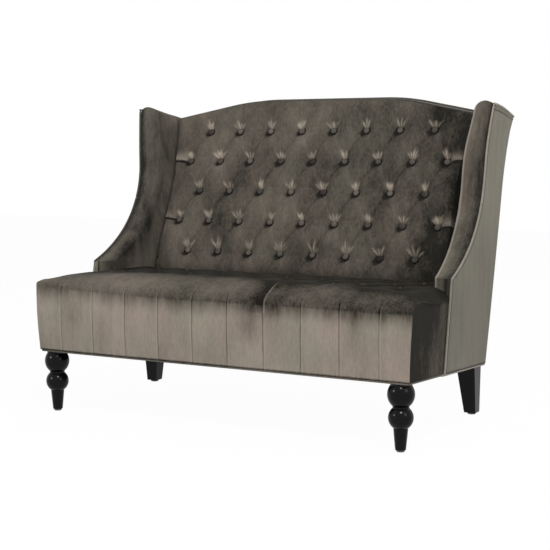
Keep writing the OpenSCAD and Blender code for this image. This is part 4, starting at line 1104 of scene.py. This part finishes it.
def plain(name, colour, rough, metal=0.0, scale=300.0, contrast=0.25, distance=0.0003):
    """Finish with fine mottling in colour, roughness and height."""
    made, tree, shader, place = material(name)
    spots = noise(tree, place, scale, 3, 0.6)
    dark = tuple(c * (1 - contrast) for c in colour) + (1,)
    light = tuple(min(1, c * (1 + contrast)) for c in colour) + (1,)
    mixed = add(tree, "Mix", {0: spots, 6: dark, 7: light}, data_type="RGBA")
    tree.links.new(mixed.outputs[2], shader.inputs["Base Color"])
    tree.links.new(maths(tree, "MULTIPLY_ADD", spots, 0.2), shader.inputs["Roughness"])
    tree.nodes[-1].inputs[2].default_value = rough
    shader.inputs["Metallic"].default_value = metal
    bump(tree, shader, spots, 0.3, distance)
    return made


def woven(name, colour, pitch):
    """Plain weave: two crossed waves of thread, one over the other in turn."""
    made, tree, shader, place = material(name)
    split = add(tree, "SeparateXYZ", {0: place})
    turns = 2 * math.pi / pitch
    slope = maths(tree, "ADD", split.outputs[1], split.outputs[2])
    warp = maths(tree, "SINE", maths(tree, "MULTIPLY", split.outputs[0], turns))
    weft = maths(tree, "SINE", maths(tree, "MULTIPLY", slope, turns))
    thread = maths(tree, "MULTIPLY", warp, weft)
    spots = noise(tree, place, 250, 3, 0.6)
    shade = maths(tree, "ADD", maths(tree, "MULTIPLY", thread, 0.3), spots, clamp=True)
    dark = tuple(c * 0.55 for c in colour) + (1,)
    mixed = add(tree, "Mix", {0: shade, 6: dark, 7: colour + (1,)}, data_type="RGBA")
    tree.links.new(mixed.outputs[2], shader.inputs["Base Color"])
    shader.inputs["Roughness"].default_value = 0.9
    bump(tree, shader, shade, 0.5, 0.0006)
    return made


back_velvet = velvet("back_velvet", (0.008, 0.0068, 0.0046), (0.360, 0.311, 0.255), 0.3, 0.12,
                     shift=-0.295, sheen=0.2)
seat_velvet = velvet("seat_velvet", (0.010, 0.0085, 0.0058), (0.265, 0.230, 0.195), 0.36, 0.2,
                     sheen=0.05, mottle=0.45, gloss=0.05)
wing_velvet = velvet("wing_velvet", (0.012, 0.0105, 0.0080), (0.292, 0.255, 0.209), 0.30, 0.24,
                     shift=-0.25, sheen=0.3)
outside_velvet = velvet("outside_velvet", (0.022, 0.020, 0.014), (0.254, 0.237, 0.191), 0.2, 0.15, sheen=0.12)
piping_velvet = velvet("piping_velvet", (0.070, 0.064, 0.054), (0.330, 0.303, 0.258), 0.3, 0.2)
hem_velvet = velvet("hem_velvet", (0.050, 0.045, 0.038), (0.260, 0.238, 0.205), 0.4, 0.2,
                    shift=-0.05, sheen=0.2)
button_velvet = velvet("button_velvet", (0.012, 0.010, 0.009), (0.150, 0.130, 0.112), 0.4, 0.2,
                       shift=-0.1, sheen=0.15)
lacquer = wood("black_lacquer", (0.0015, 0.0015, 0.0015), (0.004, 0.0039, 0.0037), 30, 0.12,
               coat=0.13, strength=0.05, gloss=0.06)
plywood = wood("plywood", (0.42, 0.29, 0.17), (0.74, 0.58, 0.39), 22, 0.55)
zinc = plain("zinc_plate", (0.55, 0.56, 0.58), 0.3, 1.0)
nylon = plain("grey_nylon", (0.10, 0.10, 0.10), 0.45)
jute = woven("jute", (0.50, 0.40, 0.26), 0.0032)
felt = plain("deck_felt", (0.55, 0.53, 0.48), 0.9, 0.0, 420, 0.3, 0.001)
black_cloth = woven("black_cloth", (0.03, 0.03, 0.03), 0.0016)


# Pieces in place of the soft solids

def dress(piece, finish, slot, *nodes, fill=None):
    """Gives a piece its material and body, and hides the CAD nodes that it stands for. The slot is not used.
    """
    piece.data.materials.clear()
    piece.data.materials.append(finish)
    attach(piece, "root")
    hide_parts(*nodes)
    return piece


dress(back_cover(), back_velvet, "velvet", "back_pad", fill=0.8)
dress(covered_buttons(), button_velvet, "velvet", "back_buttons", fill=0.9)
dress(seat_cover(), seat_velvet, "velvet_seat", "seat_pad", fill=0.85)

wing_right, wing_left = wing_covers()
dress(wing_right, wing_velvet, "velvet", "wing_pad_right", fill=0.8)
dress(wing_left, wing_velvet, "velvet", "wing_pad_left", fill=0.8)
side_right, side_left = side_covers()
dress(side_right, outside_velvet, "velvet_outside", "side_panel_right", fill=0.9)
dress(side_left, outside_velvet, "velvet_outside", "side_panel_left", fill=0.9)
dress(outside_back(), outside_velvet, "velvet_outside", "outside_back_panel", fill=0.9)

dress(wing_piping(1), piping_velvet, "velvet_welt", "wing_welt_right")
dress(wing_piping(-1), piping_velvet, "velvet_welt", "wing_welt_left")
dress(base_piping(), hem_velvet, "velvet_welt", "bottom_welt")
dress(back_piping(), piping_velvet, "velvet_welt", "back_welt")

leg_openings = [(549, 612, -402, -341), (-612, -549, -402, -341),
                (547, 612, 147, 212), (-612, -547, 147, 212)]
cover = cloth("base_cloth", -608, 608, -398, 199, lambda x, y: under(y) - 0.5, leg_openings)
dress(cover, black_cloth, "dust_cloth", "dust_cover")
DECK_HEIGHT = SEAT_FLOOR - GAP - DECK_CLOTH / 2
deck = cloth("spring_cloth", -563.7, 563.7, -400, 201, lambda x, y: DECK_HEIGHT + 0 * x)
dress(deck, felt, "webbing", "spring_deck")
dress(webbing(), jute, "webbing", "back_webbing")

# Finishes of the rigid nodes that stay

FINISHES = {
    plywood: ["front_rail", "rear_rail", "side_frame_left", "side_frame_right", "center_rail",
              "corner_blocks", "back_post_left", "back_post_right", "back_top_rail", "back_lower_rail",
              "back_center_stile"],
    zinc: ["seat_springs", "spring_clips", "spring_ties", "hanger_bolts", "tee_nuts"],
    lacquer: ["front_leg_left", "front_leg_right", "rear_leg_left", "rear_leg_right"],
    nylon: ["leg_glides"],
}
for finish, names in FINISHES.items():
    for name in names:
        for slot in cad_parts[name].material_slots:
            slot.material = finish


# Floor, light and camera

def seen_directly(tree):
    """1 for the camera, a reflection or a view through glass, and 0 for soft light."""
    ray = add(tree, "LightPath")
    seen = maths(tree, "MAXIMUM", ray.outputs["Is Camera Ray"], ray.outputs["Is Glossy Ray"])
    return maths(tree, "MAXIMUM", seen, ray.outputs["Is Transmission Ray"])


def pale(name, colour, glow):
    """Pale finish that the camera sees as nearly white, while it lights the object only as cloth would."""
    made, tree, shader, place = material(name)
    shader.inputs["Base Color"].default_value = colour + (1,)
    shader.inputs["Roughness"].default_value = 0.9
    light = add(tree, "Emission", {"Color": (1, 1, 1, 1), "Strength": 1.0})
    share = maths(tree, "MULTIPLY", seen_directly(tree), glow)
    mix = add(tree, "MixShader", {0: share, 1: shader.outputs[0], 2: light.outputs[0]})
    tree.links.new(mix.outputs[0], tree.nodes["Material Output"].inputs["Surface"])
    return made


floor = cloth("floor", -9000, 9000, -9000, 9000, lambda x, y: 0 * x)
floor.data.materials.append(pale("pale_floor", (0.93, 0.93, 0.93), 0.97))

world = bpy.data.worlds.new("studio")
bpy.context.scene.world = world
world.use_nodes = True
sky = world.node_tree
strength = add(sky, "Mix", {0: seen_directly(sky), 2: 0.42, 3: 1.0})
ground = sky.nodes["Background"]
ground.inputs["Color"].default_value = (1, 1, 1, 1)
sky.links.new(strength.outputs[0], ground.inputs["Strength"])


def lamp(name, place, target, size, power):
    """Square area lamp at a place in metres, turned towards its target."""
    data = bpy.data.lights.new(name, "AREA")
    data.size = size
    data.energy = power
    lamp_object = bpy.data.objects.new(name, data)
    lamp_object.location = place
    way = np.array(target) - np.array(place)
    flat_way = math.hypot(way[0], way[1])
    lamp_object.rotation_euler = (math.pi / 2 + math.atan2(way[2], flat_way), 0, math.atan2(-way[0], way[1]))
    bpy.context.scene.collection.objects.link(lamp_object)


lamp("key", (1.5, -2.4, 3.4), (0, 0, 0.5), 0.7, 80)
lamp("left_fill", (-2.4, -3.2, 1.7), (0, -0.2, 0.4), 0.8, 40)
lamp("right_fill", (3.2, -1.2, 1.9), (0.4, 0, 0.5), 1.4, 22)
lamp("rear_fill", (0.5, 3.2, 2.6), (0, 0.2, 0.6), 2.0, 24)

view = bpy.data.cameras.new("camera")
view.lens = 81.3
view.sensor_width = 36
camera = bpy.data.objects.new("camera", view)
camera.location = (1.8347, -3.4470, 0.8109)
camera.rotation_euler = (math.radians(90 - 5.696), 0, math.radians(28.078))
bpy.context.scene.collection.objects.link(camera)
bpy.context.scene.camera = camera
bpy.context.scene.view_settings.view_transform = "Standard"
